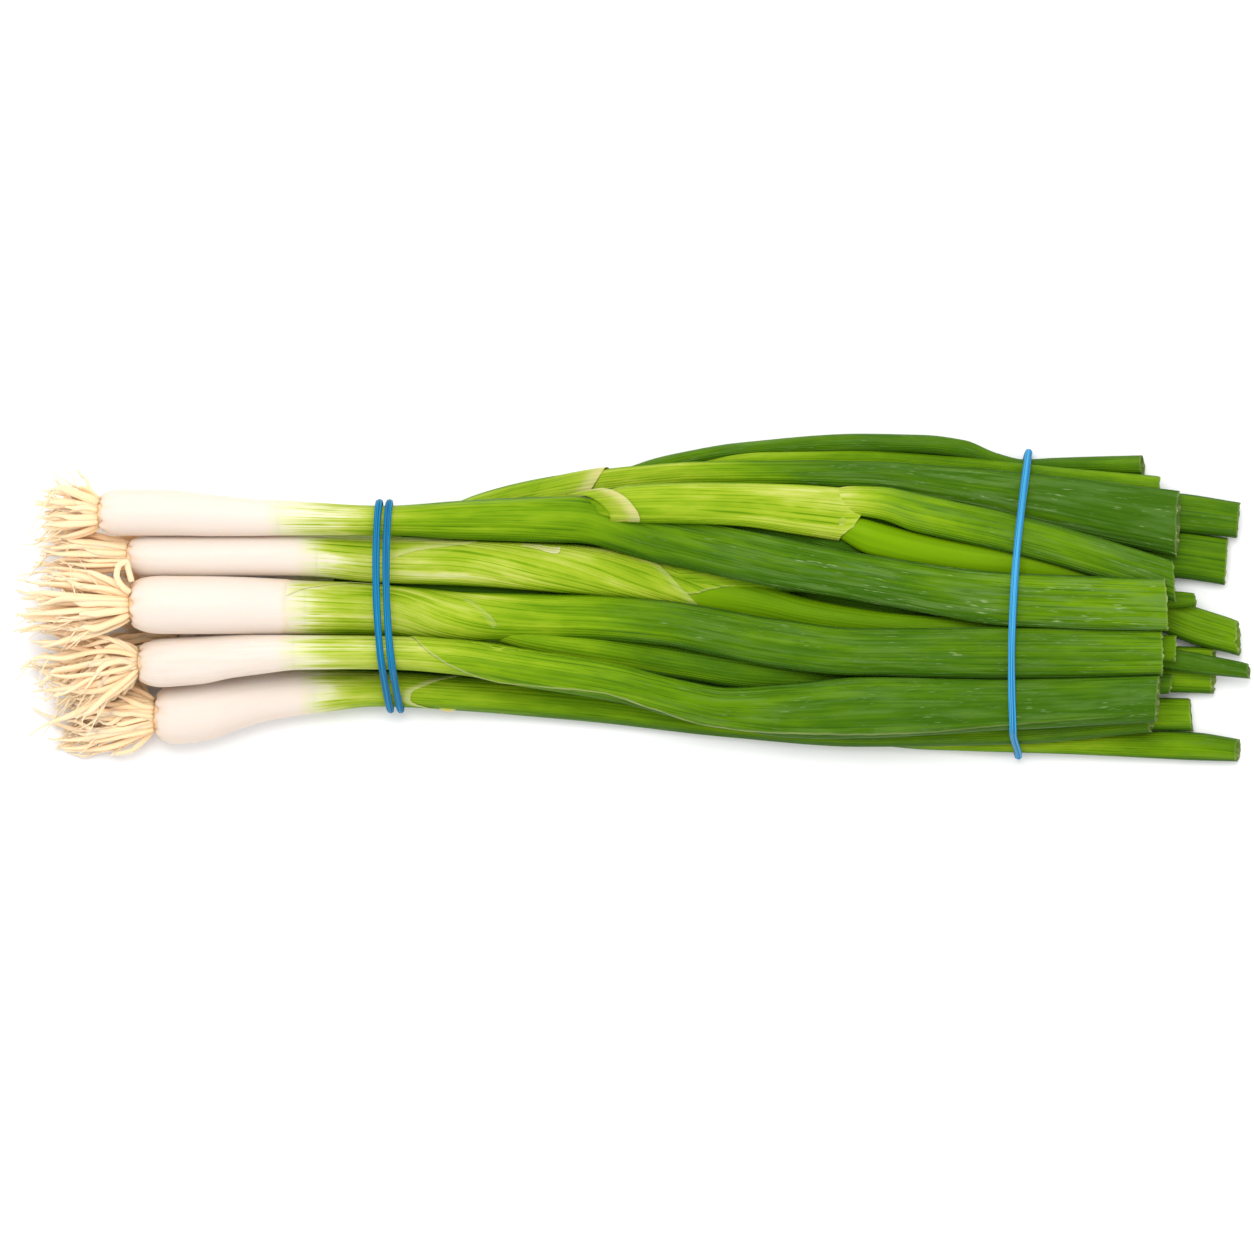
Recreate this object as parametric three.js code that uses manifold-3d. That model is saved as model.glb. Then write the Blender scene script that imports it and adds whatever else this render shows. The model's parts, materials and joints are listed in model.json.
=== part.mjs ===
// A bunch of eight trimmed spring onions, lying down and held by two elastic bands.
// Millimetres. +X runs from the roots to the cut leaf ends, +Y is the back, +Z is up.
// The group's origin is the middle of the bunch's underside.

import * as THREE from "three";
import { mergeVertices } from "three/addons/utils/BufferGeometryUtils.js";
import Module from "manifold-3d";

const wasm = await Module();
wasm.setup();

// ---- driving dimensions ----

const PLANT_GAP = 0.5; // clear space that one plant keeps from the next
const FACE_GAP = 0.3; // clear space between the pieces of one plant
const FLOOR_CLEARANCE = 0.3; // the lowest leaves hang this far above the surface
const CORD_RADIUS = 1.05; // both elastic bands are round cord
const CORD_FLAT = 0.25; // what the bunch's weight presses off the underside of a band
const TURN_OFFSET = 1.35; // each turn of the left band from the middle of the pair
const CROSSING_ANGLE = -0.9; // the turns cross facing this way: low on the back
const CROSSING_LIFT = 2.45; // one turn climbs this far over the other where they cross
const CROSSING_HALF = 0.06; // the turns swap sides within this part of a turn either way
const CROSSING_RAMP = [0.7, 1.7]; // where the climb begins and ends, in those halves
const CORD_SIDES = 8;
const LEFT_BAND_POINTS = 28; // in each of its turns
const RIGHT_BAND_POINTS = 38;
const RING_STEP = 11; // stations at which a stalk or a leaf has a section
const END_STEP = 1.5; // none of them is nearer than this to a section at an end
const STALK_SIDES = 10;
const LEAF_SIDES = 8;
const LEAF_WALL = 0.75; // wall of a leaf, seen at its cut end
const CUT_DEPTH = 7; // a cut leaf is open this far in
const SWELL_LENGTH = 18; // a leaf widens out of what it grows from over this length
const SWELL_SHARE = 0.45; // starting from this share of its own width
const ROOT_END_ROUND = 5; // a bulb rounds in over this length at its root end
const ROOT_END_SHARE = 0.62; // and is this share of its full width there
const PLATE_SHARE = 0.95; // the basal plate, as a share of the bulb's root end
const PLATE_DEPTH = 2.2;
const PLATE_FACE_SHARE = 0.6; // it narrows to this share of itself at the roots
const ROOT_FIELD_SHARE = 0.85; // roots grow from this share of the plate's radius
const ROOT_START_DEPTH = 0.9; // and start this far inside it
const ROOTS_PER_PLANT = 13;
const ROOT_SIDES = 3;
const ROOT_STEPS = 5;
const ROOT_RADIUS = 0.62;
const ROOT_TIP_RADIUS = 0.34;
const ROOT_WANDER = 6; // a root's middle and its tip stray sideways by up to half of this
const ROOT_SHORTEST = 0.55; // the shortest root of a tuft, as a share of the longest
const ROOT_DROOP = 0.22; // how far a root's tip sinks, as a share of its length
const ROOT_LIFT_SHARE = 0.35; // roots spread up and down less than to the sides
const ROOT_FAN_BEND = 0.25; // how much a root's spread slackens towards its tip
const ROOT_BENDS = [0.3, 0.62]; // a root bends at these shares of its length
const GOLDEN_ANGLE = Math.PI * (3 - Math.sqrt(5));

// Where each elastic band runs: nearest the roots at (x, y), and `lean` further along
// at a distance `span` to either side. The left band goes round the stalks twice, the
// right one round the leaves once.
const LEFT_BAND = { x: -65.05, y: 8, lean: 3.15, span: 37.5 };
const RIGHT_BAND = { x: 101.6, y: -18, lean: 5.2, span: 56 };
const HOOK_REACH = 1.8; // the right band's front end bends along by this much
const HOOK_START = 35.5; // and does so between these distances in front of the middle
const HOOK_END = 42.5;

// ---- the strands ----
// Every stalk and leaf is a strand: a soft tube whose route is a list of points
// [x, y, half width across, half depth]. The list is in the order in which they are
// laid, so each one rests on those before it. `from` names the strand that a leaf
// grows out of, and `over` the strands of its own plant that it lies upon.

const STRANDS = [
  {
    name: "stalk_7",
    plant: 7,
    route: [
      [-122.6, 4.1, 5.3, 5.3],
      [-113, 4.1, 5.6, 5.6],
      [-102, 3.9, 5.0, 5.0],
      [-86, 3.6, 4.2, 4.2],
      [-63, 3.6, 4.1, 3.9],
      [-47, 6.2, 4.1, 3.5],
      [-28, 10.0, 4.2, 3.1],
      [-7, 13.2, 4.5, 2.7],
      [19, 13.9, 4.8, 2.4],
      [72, 14.2, 5.6, 2.3],
      [104, 13.9, 5.8, 2.3],
      [146, 11.8, 6.1, 2.4],
      [160.3, 9.9, 6.2, 2.4],
    ],
  },
  {
    name: "stalk_8",
    plant: 8,
    route: [
      [-119, -10.2, 5.3, 5.3],
      [-110, -10.2, 5.6, 5.6],
      [-100, -9.9, 5.0, 5.0],
      [-86, -9.9, 4.2, 4.2],
      [-63, -9.7, 4.1, 3.9],
      [-47, -9.4, 4.2, 3.5],
      [-20, -10.7, 4.5, 3.0],
      [6, -13.6, 4.8, 2.6],
      [25, -15.2, 5.0, 2.4],
      [59, -16.6, 5.3, 2.3],
      [104, -17.6, 5.8, 2.3],
      [157, -19.2, 6.1, 2.4],
    ],
  },
  {
    name: "stalk_6",
    plant: 6,
    route: [
      [-122.6, 15.5, 5.3, 5.3],
      [-113, 15.5, 5.6, 5.6],
      [-102, 15.5, 5.0, 5.0],
      [-86, 15.8, 4.2, 4.2],
      [-58, 16.0, 4.1, 3.8],
      [-49, 19.6, 4.3, 3.5],
      [-40, 23.4, 4.3, 3.2],
      [-26, 27.2, 4.2, 3.0],
      [-7, 30.4, 4.0, 2.8],
      [17, 32.4, 3.9, 2.6],
      [35, 31.4, 4.0, 2.3],
      [62, 28.8, 4.5, 2.2],
      [104, 25.6, 4.8, 2.2],
      [146, 23.1, 5.0, 2.3],
      [163.5, 20.9, 4.6, 2.3],
    ],
  },
  {
    name: "leaf_7_front",
    plant: 7,
    from: "stalk_7",
    route: [
      [9, 12.3, 4.0, 2.2],
      [25, 8.6, 4.5, 2.2],
      [46, 4.4, 5.0, 2.2],
      [72, 2.3, 5.3, 2.2],
      [104, 1.7, 5.3, 2.2],
      [130, 0.1, 5.2, 2.2],
      [152, -7.3, 5.0, 2.2],
      [163.5, -10.6, 4.6, 2.2],
    ],
  },
  {
    name: "leaf_7_thin",
    plant: 7,
    from: "stalk_7",
    route: [
      [9, 12.3, 2.4, 1.8],
      [25, 4.9, 2.7, 1.8],
      [40, -2.0, 2.9, 1.8],
      [59, -7.0, 2.9, 1.8],
      [104, -9.6, 3.0, 1.8],
      [147, -16.5, 2.8, 1.8],
      [166, -19.3, 2.0, 1.7],
    ],
  },
  {
    name: "leaf_8_front",
    plant: 8,
    from: "stalk_8",
    route: [
      [9, -15.5, 3.2, 2.2],
      [27, -22.0, 3.6, 2.2],
      [50, -28.0, 4.3, 2.2],
      [104, -30.1, 4.2, 2.2],
      [151, -31.1, 4.2, 2.2],
    ],
  },
  {
    name: "leaf_6_strip",
    plant: 6,
    from: "stalk_6",
    over: ["stalk_6"],
    route: [
      [9, 34.0, 2.0, 2.0],
      [29, 36.6, 2.2, 2.0],
      [62, 37.2, 2.2, 2.0],
      [90, 35.4, 2.3, 2.0],
      [117, 32.4, 2.4, 2.0],
      [142, 30.0, 2.5, 2.0],
    ],
  },
  {
    name: "leaf_6_broad",
    plant: 6,
    from: "stalk_6",
    over: ["stalk_6", "leaf_6_strip"],
    route: [
      [0, 31.6, 3.4, 2.4],
      [17, 33.0, 3.4, 2.4],
      [35, 33.2, 3.4, 2.4],
      [62, 32.7, 3.9, 2.3],
      [90, 29.5, 5.3, 2.3],
      [104, 27.2, 6.4, 2.3],
      [117, 25.0, 7.2, 2.4],
      [147, 19.9, 8.7, 2.5],
    ],
  },
  {
    name: "leaf_6_back",
    plant: 6,
    from: "stalk_6",
    route: [
      [-9, 31.0, 2.0, 2.0],
      [13, 36.7, 2.0, 2.0],
      [29, 39.4, 2.1, 2.0],
      [62, 41.5, 2.5, 2.1],
      [79, 41.2, 2.5, 2.1],
      [90, 39.9, 2.4, 2.0],
      [99, 37.0, 1.7, 1.8],
      [106, 35.5, 1.7, 1.7],
      [115, 35.6, 2.0, 2.0],
      [138, 35.6, 2.7, 2.2],
    ],
  },
  {
    name: "stalk_5",
    plant: 5,
    route: [
      [-125.2, -31.1, 7.0, 7.0],
      [-121, -31.0, 7.6, 7.6],
      [-112, -29.6, 8.0, 7.9],
      [-103, -27.2, 7.3, 7.2],
      [-95, -25.6, 6.6, 6.5],
      [-83, -24.6, 5.8, 5.7],
      [-67, -24.0, 4.6, 4.5],
      [-41, -25.5, 4.5, 3.9],
      [-10, -28.0, 4.7, 3.3],
      [27, -32.7, 4.1, 2.8],
      [62, -35.6, 3.7, 2.4],
      [101, -35.1, 3.6, 2.2],
      [140, -32.2, 3.2, 2.0],
    ],
  },
  {
    name: "leaf_5_front",
    plant: 5,
    from: "stalk_5",
    route: [
      [33, -34.0, 2.2, 2.0],
      [62, -36.4, 2.2, 2.0],
      [82, -37.8, 2.5, 2.0],
      [115, -38.6, 2.7, 2.0],
      [151, -39.4, 3.6, 2.2],
      [163.5, -40.5, 2.9, 2.0],
    ],
  },
  {
    name: "stalk_2",
    plant: 2,
    route: [
      [-131.6, 11.3, 5.2, 5.2],
      [-124, 11.2, 5.5, 5.5],
      [-113, 11.2, 5.5, 5.5],
      [-100, 11.4, 5.5, 5.5],
      [-87, 11.6, 5.6, 5.4],
      [-64, 10.2, 6.1, 4.3],
      [-41, 9.4, 6.1, 4.2],
      [-15, 7.8, 6.5, 3.6],
      [3, 5.6, 6.5, 3.2],
      [20, 2.2, 5.8, 2.9],
      [36, -1.0, 4.9, 2.7],
      [46, -3.6, 4.2, 2.5],
      [59, -5.8, 3.6, 2.3],
      [72, -7.2, 3.2, 2.1],
      [90, -8.6, 3.2, 2.0],
      [125, -12.0, 3.4, 1.8],
      [146, -13.4, 3.4, 1.8],
    ],
  },
  {
    name: "leaf_2_back",
    plant: 2,
    from: "stalk_2",
    route: [
      [4, 6.2, 5.0, 2.8],
      [20, 6.5, 5.4, 2.4],
      [36, 6.4, 4.6, 2.1],
      [60, 5.0, 4.0, 1.8],
      [104, 1.0, 4.2, 1.8],
      [130, -0.2, 3.4, 1.8],
      [151, -0.4, 1.8, 1.6],
    ],
  },
  {
    name: "stalk_3",
    plant: 3,
    route: [
      [-130.8, -1.6, 6.8, 6.8],
      [-122, -1.7, 7.4, 7.4],
      [-108, -1.8, 7.3, 7.3],
      [-87, -2.4, 7.1, 7.0],
      [-64, -3.3, 6.7, 5.4],
      [-41, -5.0, 6.5, 4.8],
      [-15, -4.9, 5.7, 3.9],
      [9, -6.4, 5.8, 3.2],
      [22, -8.6, 6.1, 3.0],
      [38, -11.6, 6.3, 2.8],
      [62, -14.2, 6.2, 2.7],
      [104, -14.4, 6.8, 2.6],
      [142, -14.4, 6.0, 2.6],
    ],
  },
  {
    name: "leaf_3_front",
    plant: 3,
    from: "stalk_3",
    route: [
      [-36, -9.0, 3.0, 3.0],
      [-18, -12.1, 3.7, 2.8],
      [-7, -13.6, 4.2, 2.6],
      [17, -17.4, 4.2, 2.4],
      [29, -19.2, 4.4, 2.2],
      [49, -21.1, 3.2, 2.0],
      [62, -21.9, 2.7, 1.8],
      [99, -22.7, 2.7, 1.8],
      [145, -22.7, 2.5, 1.7],
    ],
  },
  {
    name: "stalk_4",
    plant: 4,
    route: [
      [-128.9, -16.9, 5.5, 5.5],
      [-122, -16.6, 6.0, 6.0],
      [-108, -15.6, 5.8, 5.8],
      [-97, -14.8, 5.1, 5.1],
      [-87, -14.3, 4.5, 4.7],
      [-64, -14.4, 4.3, 4.2],
      [-45, -15.6, 4.6, 4.0],
      [-26, -18.6, 5.0, 3.6],
      [-3, -22.4, 5.0, 3.4],
      [14, -26.8, 5.2, 3.2],
      [26, -29.2, 5.4, 3.1],
      [42, -29.8, 7.0, 3.0],
      [62, -29.0, 8.0, 2.9],
      [100, -28.2, 6.6, 2.7],
      [141, -26.6, 6.0, 2.6],
    ],
  },
  {
    name: "stalk_1",
    plant: 1,
    route: [
      [-139, 22.7, 5.8, 5.8],
      [-133, 22.7, 6.0, 6.0],
      [-122, 22.6, 5.9, 5.9],
      [-108, 21.8, 5.2, 5.2],
      [-92, 21.2, 4.5, 4.5],
      [-64, 20.6, 3.8, 3.9],
      [-41, 20.8, 5.1, 4.2],
      [-15, 21.0, 6.0, 3.6],
      [8, 16.2, 6.4, 3.0],
      [31, 11.4, 6.8, 2.8],
      [62, 5.6, 6.2, 2.7],
      [102, -0.3, 6.8, 2.6],
      [143, -1.7, 6.7, 2.6],
    ],
  },
  {
    name: "sheath_1",
    plant: 1,
    from: "stalk_1",
    over: ["stalk_1"],
    route: [
      [-22, 23.0, 3.6, 3.0],
      [-7, 24.8, 4.5, 2.9],
      [13, 25.3, 5.3, 2.7],
      [29, 25.0, 5.6, 2.6],
      [45, 23.7, 6.5, 2.6],
      [57, 22.4, 7.1, 2.6],
    ],
  },
  {
    name: "leaf_1_middle",
    plant: 1,
    from: "sheath_1",
    route: [
      [45, 22.0, 3.6, 1.8],
      [56, 19.0, 4.0, 2.1],
      [65, 16.0, 4.5, 2.3],
      [90, 10.5, 4.5, 2.3],
      [104, 8.9, 4.1, 2.2],
      [125, 5.7, 3.2, 2.0],
      [134, 4.6, 2.7, 1.9],
    ],
  },
  {
    name: "leaf_1_back",
    plant: 1,
    from: "sheath_1",
    over: ["leaf_1_middle"],
    route: [
      [42, 25.6, 3.2, 1.8],
      [56, 26.2, 3.6, 2.1],
      [67, 25.4, 4.2, 2.3],
      [76, 23.0, 5.0, 2.3],
      [86, 20.8, 5.1, 2.3],
      [104, 16.8, 5.2, 2.3],
      [145.5, 4.5, 5.3, 2.4],
    ],
  },
];

// What differs from plant to plant: where the white shank turns green, how long the
// roots are, how far they spread to each side, and the seed of their random draw.
const PLANTS = {
  1: { green: -92, roots: 17, spread: 9, seed: 11 },
  2: { green: -82, roots: 26, spread: 5, seed: 22 },
  3: { green: -85, roots: 33, spread: 12, seed: 33 },
  4: { green: -88, roots: 25, spread: 9, seed: 44 },
  5: { green: -83, roots: 24, spread: 10, seed: 55 },
  6: { green: -88, roots: 15, spread: 5, seed: 66 },
  7: { green: -86, roots: 15, spread: 5, seed: 77 },
  8: { green: -86, roots: 16, spread: 5, seed: 88 },
};

// ---- finishes ----

const WHITE = { color: 0xf6efdc, roughness: 0.42 };
const LIGHT_GREEN = { color: 0x86b53a, roughness: 0.45 };
const DARK_GREEN = { color: 0x47762a, roughness: 0.48 };
const ROOT_TAN = { color: 0xd9c39a, roughness: 0.8 };
const DEEP_BLUE = { color: 0x1a80c7, roughness: 0.5 };
const SKY_BLUE = { color: 0x409edf, roughness: 0.5 };

// ---- small tools ----

function clamp(value, low, high) {
  return Math.min(Math.max(value, low), high);
}

function ease(value, from, to) {
  const t = clamp((value - from) / (to - from), 0, 1);
  return t * t * (3 - 2 * t);
}

// The same sequence of draws for the same seed.
function seeded(seed) {
  let state = seed;
  return () => {
    state = (state + 0x6d2b79f5) | 0;
    let t = Math.imul(state ^ (state >>> 15), 1 | state);
    t = (t + Math.imul(t ^ (t >>> 7), 61 | t)) ^ t;
    return ((t ^ (t >>> 14)) >>> 0) / 4294967296;
  };
}

// A smooth function of x through one column of a route: a cubic between neighbouring
// points, level wherever the values turn back.
function through(route, column) {
  const slope = (i) => (route[i + 1][column] - route[i][column]) / (route[i + 1][0] - route[i][0]);
  const last = route.length - 1;
  const grade = route.map((_, i) => {
    if (i === 0) return slope(0);
    if (i === last) return slope(last - 1);
    const before = slope(i - 1);
    const after = slope(i);
    return before * after > 0 ? (2 * before * after) / (before + after) : 0;
  });
  return (x) => {
    const at = clamp(x, route[0][0], route[last][0]);
    let i = 0;
    while (i < last - 1 && at > route[i + 1][0]) i += 1;
    const span = route[i + 1][0] - route[i][0];
    const t = (at - route[i][0]) / span;
    const rise = grade[i] * span;
    const run = grade[i + 1] * span;
    const step = route[i + 1][column] - route[i][column];
    return route[i][column] + t * (rise + t * (3 * step - 2 * rise - run + t * (rise + run - 2 * step)));
  };
}

// ---- laying the strands on one another ----

const STATION_STEP = 3;
const FIRST_STATION = -144;
const STATIONS = Array.from({ length: 105 }, (_, i) => FIRST_STATION + i * STATION_STEP);
const SMOOTHING = 5; // stations to each side over which a strand's height is evened out
const RISE_LENGTH = 30; // a leaf climbs onto its own plant over this length
const RISE_SHARE = 0.8; // by this much of its depth, so that the two stay joined
const JOINED_LENGTH = 12; // and stays inside what it grows from for this length

// The surface, raised where a band passes underneath.
function floorAt(x) {
  const reach = 4 * CORD_RADIUS + STATION_STEP;
  const overBand = [LEFT_BAND, RIGHT_BAND].some(
    (band) => Math.abs(x - band.x - band.lean / 2) < reach,
  );
  return overBand ? 2 * CORD_RADIUS - CORD_FLAT + FACE_GAP : FLOOR_CLEARANCE;
}

// How high a strand's middle has to be at x to clear what is already there.
function neededHeight(strand, x, laid) {
  let height = floorAt(x) + strand.depth(x);
  for (const other of laid) {
    if (x < other.start || x > other.end) continue;
    const own = other.plant === strand.plant;
    if (own && !strand.over.includes(other.name)) continue;
    const reach = strand.width(x) + other.width(x) + PLANT_GAP;
    const aside = (strand.across(x) - other.across(x)) / reach;
    if (Math.abs(aside) >= 1) continue;
    const climb = (strand.depth(x) + other.depth(x) + PLANT_GAP) * Math.sqrt(1 - aside * aside);
    const share = own ? RISE_SHARE * ease(x, strand.start, strand.start + RISE_LENGTH) : 1;
    height = Math.max(height, other.height(x) + share * climb);
  }
  const parent = laid.find((other) => other.name === strand.from);
  if (parent && x < strand.start + JOINED_LENGTH) height = Math.max(height, parent.height(x));
  return height;
}

// A moving maximum and then a moving mean over the same window: smooth, never lower.
function evenedOut(needs) {
  const over = (list, fold) =>
    list.map((_, i) => fold(list.slice(Math.max(0, i - SMOOTHING), i + SMOOTHING + 1)));
  const highest = over(needs, (part) => Math.max(...part));
  return over(highest, (part) => part.reduce((sum, value) => sum + value, 0) / part.length);
}

function layAll() {
  const laid = [];
  for (const spec of STRANDS) {
    const strand = {
      over: [],
      ...spec,
      start: spec.route[0][0],
      end: spec.route.at(-1)[0],
      across: through(spec.route, 1),
      width: through(spec.route, 2),
      depth: through(spec.route, 3),
    };
    const own = STATIONS.filter(
      (x) => x > strand.start - STATION_STEP && x < strand.end + STATION_STEP,
    );
    const heights = evenedOut(own.map((x) => neededHeight(strand, x, laid)));
    strand.height = (x) => {
      const place = clamp((x - own[0]) / STATION_STEP, 0, own.length - 1.001);
      const i = Math.floor(place);
      return heights[i] + (heights[i + 1] - heights[i]) * (place - i);
    };
    laid.push(strand);
  }
  return laid;
}

// ---- closed skins ----

// Triangles between successive rings of points, as a BufferGeometry. The rings run
// forwards with their points turning anticlockwise; `closed` joins the last to the first,
// and otherwise both ends get a fan.
function skin(rings, closed = false) {
  const sides = rings[0].length;
  const positions = rings.flat().flatMap((p) => [p.x, p.y, p.z]);
  const faces = [];
  const at = (ring, k) => (ring % rings.length) * sides + (k % sides);
  const bands = closed ? rings.length : rings.length - 1;
  for (let i = 0; i < bands; i += 1) {
    for (let k = 0; k < sides; k += 1) {
      faces.push(at(i, k), at(i, k + 1), at(i + 1, k));
      faces.push(at(i, k + 1), at(i + 1, k + 1), at(i + 1, k));
    }
  }
  if (!closed) {
    for (const end of [0, rings.length - 1]) {
      const middle = new THREE.Vector3();
      rings[end].forEach((p) => middle.addScaledVector(p, 1 / sides));
      const centre = positions.length / 3;
      positions.push(middle.x, middle.y, middle.z);
      for (let k = 0; k < sides; k += 1) {
        if (end === 0) faces.push(at(end, k + 1), at(end, k), centre);
        else faces.push(at(end, k), at(end, k + 1), centre);
      }
    }
  }
  const geometry = new THREE.BufferGeometry();
  geometry.setAttribute("position", new THREE.Float32BufferAttribute(positions, 3));
  geometry.setIndex(faces);
  return geometry;
}

function solidOf(geometry) {
  return new wasm.Manifold(
    new wasm.Mesh({
      numProp: 3,
      vertProperties: new Float32Array(geometry.attributes.position.array),
      triVerts: new Uint32Array(geometry.index.array),
    }),
  );
}

// The one whole body of a joined solid: a hollow that joining sealed is filled, and a
// loose scrap is dropped.
function wholeBody(solid) {
  return solid.decompose().reduce((best, body) => (body.volume() > best.volume() ? body : best));
}

function geometryOf(solid) {
  const { vertProperties, triVerts } = solid.getMesh();
  const geometry = new THREE.BufferGeometry();
  geometry.setAttribute("position", new THREE.BufferAttribute(vertProperties, 3));
  geometry.setIndex(new THREE.BufferAttribute(triVerts, 1));
  return geometry;
}

// ---- stalks and leaves ----

// One oval section of a strand at x, drawn in by `inset` and scaled by `share`.
function section(strand, x, sides, inset = 0, share = 1) {
  return Array.from({ length: sides }, (_, k) => {
    const turn = (k / sides) * 2 * Math.PI;
    return new THREE.Vector3(
      x,
      strand.across(x) + (strand.width(x) - inset) * share * Math.cos(turn),
      strand.height(x) + (strand.depth(x) - inset) * share * Math.sin(turn),
    );
  });
}

function stationsBetween(from, to) {
  const first = Math.ceil((from + END_STEP) / RING_STEP) * RING_STEP;
  const inner = [];
  for (let x = first; x < to - END_STEP; x += RING_STEP) inner.push(x);
  return [from, ...inner, to];
}

// The white shank from its rounded root end to where the green begins.
function bulb(strand, greenX) {
  const roundShare = (x) => {
    const left = 1 - clamp((x - strand.start) / ROOT_END_ROUND, 0, 1);
    return ROOT_END_SHARE + (1 - ROOT_END_SHARE) * Math.sqrt(1 - left * left);
  };
  const near = [strand.start, strand.start + 0.6, strand.start + 2];
  const rest = stationsBetween(strand.start + ROOT_END_ROUND, greenX - FACE_GAP / 2);
  return skin([...near, ...rest].map((x) => section(strand, x, STALK_SIDES, 0, roundShare(x))));
}

// A green tube from x to the strand's end, where it is cut across and open. One that
// grows out of another strand starts slim, inside it.
function leaf(strand, from, sides) {
  const share = (x) =>
    strand.from ? SWELL_SHARE + (1 - SWELL_SHARE) * ease(x, from, from + SWELL_LENGTH) : 1;
  const outer = stationsBetween(from, strand.end).map((x) => section(strand, x, sides, 0, share(x)));
  const rim = section(strand, strand.end, sides, LEAF_WALL);
  const bottom = section(strand, strand.end - CUT_DEPTH, sides, LEAF_WALL);
  return skin([...outer, rim, bottom]);
}

function greenPart(strands, plant, greenX) {
  const own = strands.filter((strand) => strand.plant === plant);
  const [stalk, ...leaves] = own;
  let solid = solidOf(leaf(stalk, greenX + FACE_GAP / 2, STALK_SIDES));
  for (const strand of leaves) solid = solid.add(solidOf(leaf(strand, strand.start, LEAF_SIDES)));
  return wholeBody(solid);
}

// ---- roots ----

// A thin tapering root along a curve, with its own radius at each step.
function rootStrand(points, extra = 0) {
  const curve = new THREE.CatmullRomCurve3(points);
  const { normals, binormals } = curve.computeFrenetFrames(ROOT_STEPS, false);
  const rings = normals.map((normal, i) => {
    const radius = THREE.MathUtils.lerp(ROOT_RADIUS, ROOT_TIP_RADIUS, i / ROOT_STEPS) + extra;
    const centre = curve.getPointAt(i / ROOT_STEPS);
    return Array.from({ length: ROOT_SIDES }, (_, k) => {
      const turn = (k / ROOT_SIDES) * 2 * Math.PI;
      return centre
        .clone()
        .addScaledVector(normal, radius * Math.cos(turn))
        .addScaledVector(binormals[i], radius * Math.sin(turn));
    });
  });
  return solidOf(skin(rings));
}

// The basal plate with its roots: they start on a sunflower pattern over the plate, fan
// out, wander and droop. One that would touch another plant is left out.
function rootTuft(stalk, { roots, spread, seed }, neighbours) {
  const random = seeded(seed);
  const plateRadius = stalk.width(stalk.start) * ROOT_END_SHARE * PLATE_SHARE;
  const face = stalk.start - FACE_GAP;
  const y = stalk.across(stalk.start);
  const z = stalk.height(stalk.start);
  const disc = (x, radius) =>
    Array.from({ length: LEAF_SIDES }, (_, k) => {
      const turn = (k / LEAF_SIDES) * 2 * Math.PI;
      return new THREE.Vector3(x, y + radius * Math.cos(turn), z + radius * Math.sin(turn));
    });
  const plate = [
    disc(face - PLATE_DEPTH, plateRadius * PLATE_FACE_SHARE),
    disc(face - PLATE_DEPTH / 2, plateRadius),
    disc(face, plateRadius),
  ];
  let tuft = solidOf(skin(plate));
  for (let i = 0; i < ROOTS_PER_PLANT; i += 1) {
    const turn = i * GOLDEN_ANGLE;
    const out = Math.sqrt((i + 0.5) / ROOTS_PER_PLANT);
    const length = roots * (ROOT_SHORTEST + (1 - ROOT_SHORTEST) * random());
    const wander = ROOT_WANDER * (random() - 0.5);
    const curl = ROOT_WANDER * (random() - 0.5);
    const away = plateRadius * ROOT_FIELD_SHARE * out;
    const start = new THREE.Vector3(
      face - ROOT_START_DEPTH,
      y + away * Math.cos(turn),
      z + away * Math.sin(turn),
    );
    const along = (share, side) => {
      const fan = share * (1 - ROOT_FAN_BEND * share);
      const sink = ROOT_DROOP * length * share * share;
      const lift = ROOT_LIFT_SHARE * spread * out * Math.sin(turn) * fan;
      return new THREE.Vector3(
        start.x - length * share,
        start.y + spread * out * Math.cos(turn) * fan + side,
        Math.max(start.z + lift - sink, ROOT_RADIUS + FLOOR_CLEARANCE),
      );
    };
    const [near, far] = ROOT_BENDS;
    const points = [start, along(near, wander * near), along(far, -curl * far), along(1, curl)];
    const guard = rootStrand(points.slice(1), PLANT_GAP / 2);
    if (neighbours.some((solid) => solid.intersect(guard).volume() > 0)) continue;
    tuft = tuft.add(rootStrand(points));
  }
  return wholeBody(tuft);
}

// ---- elastic bands ----

const CONTOUR_DIRECTIONS = 360;
const CORNER_WEIGHT = 0.4; // how much closer together the points are where the line turns

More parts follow.
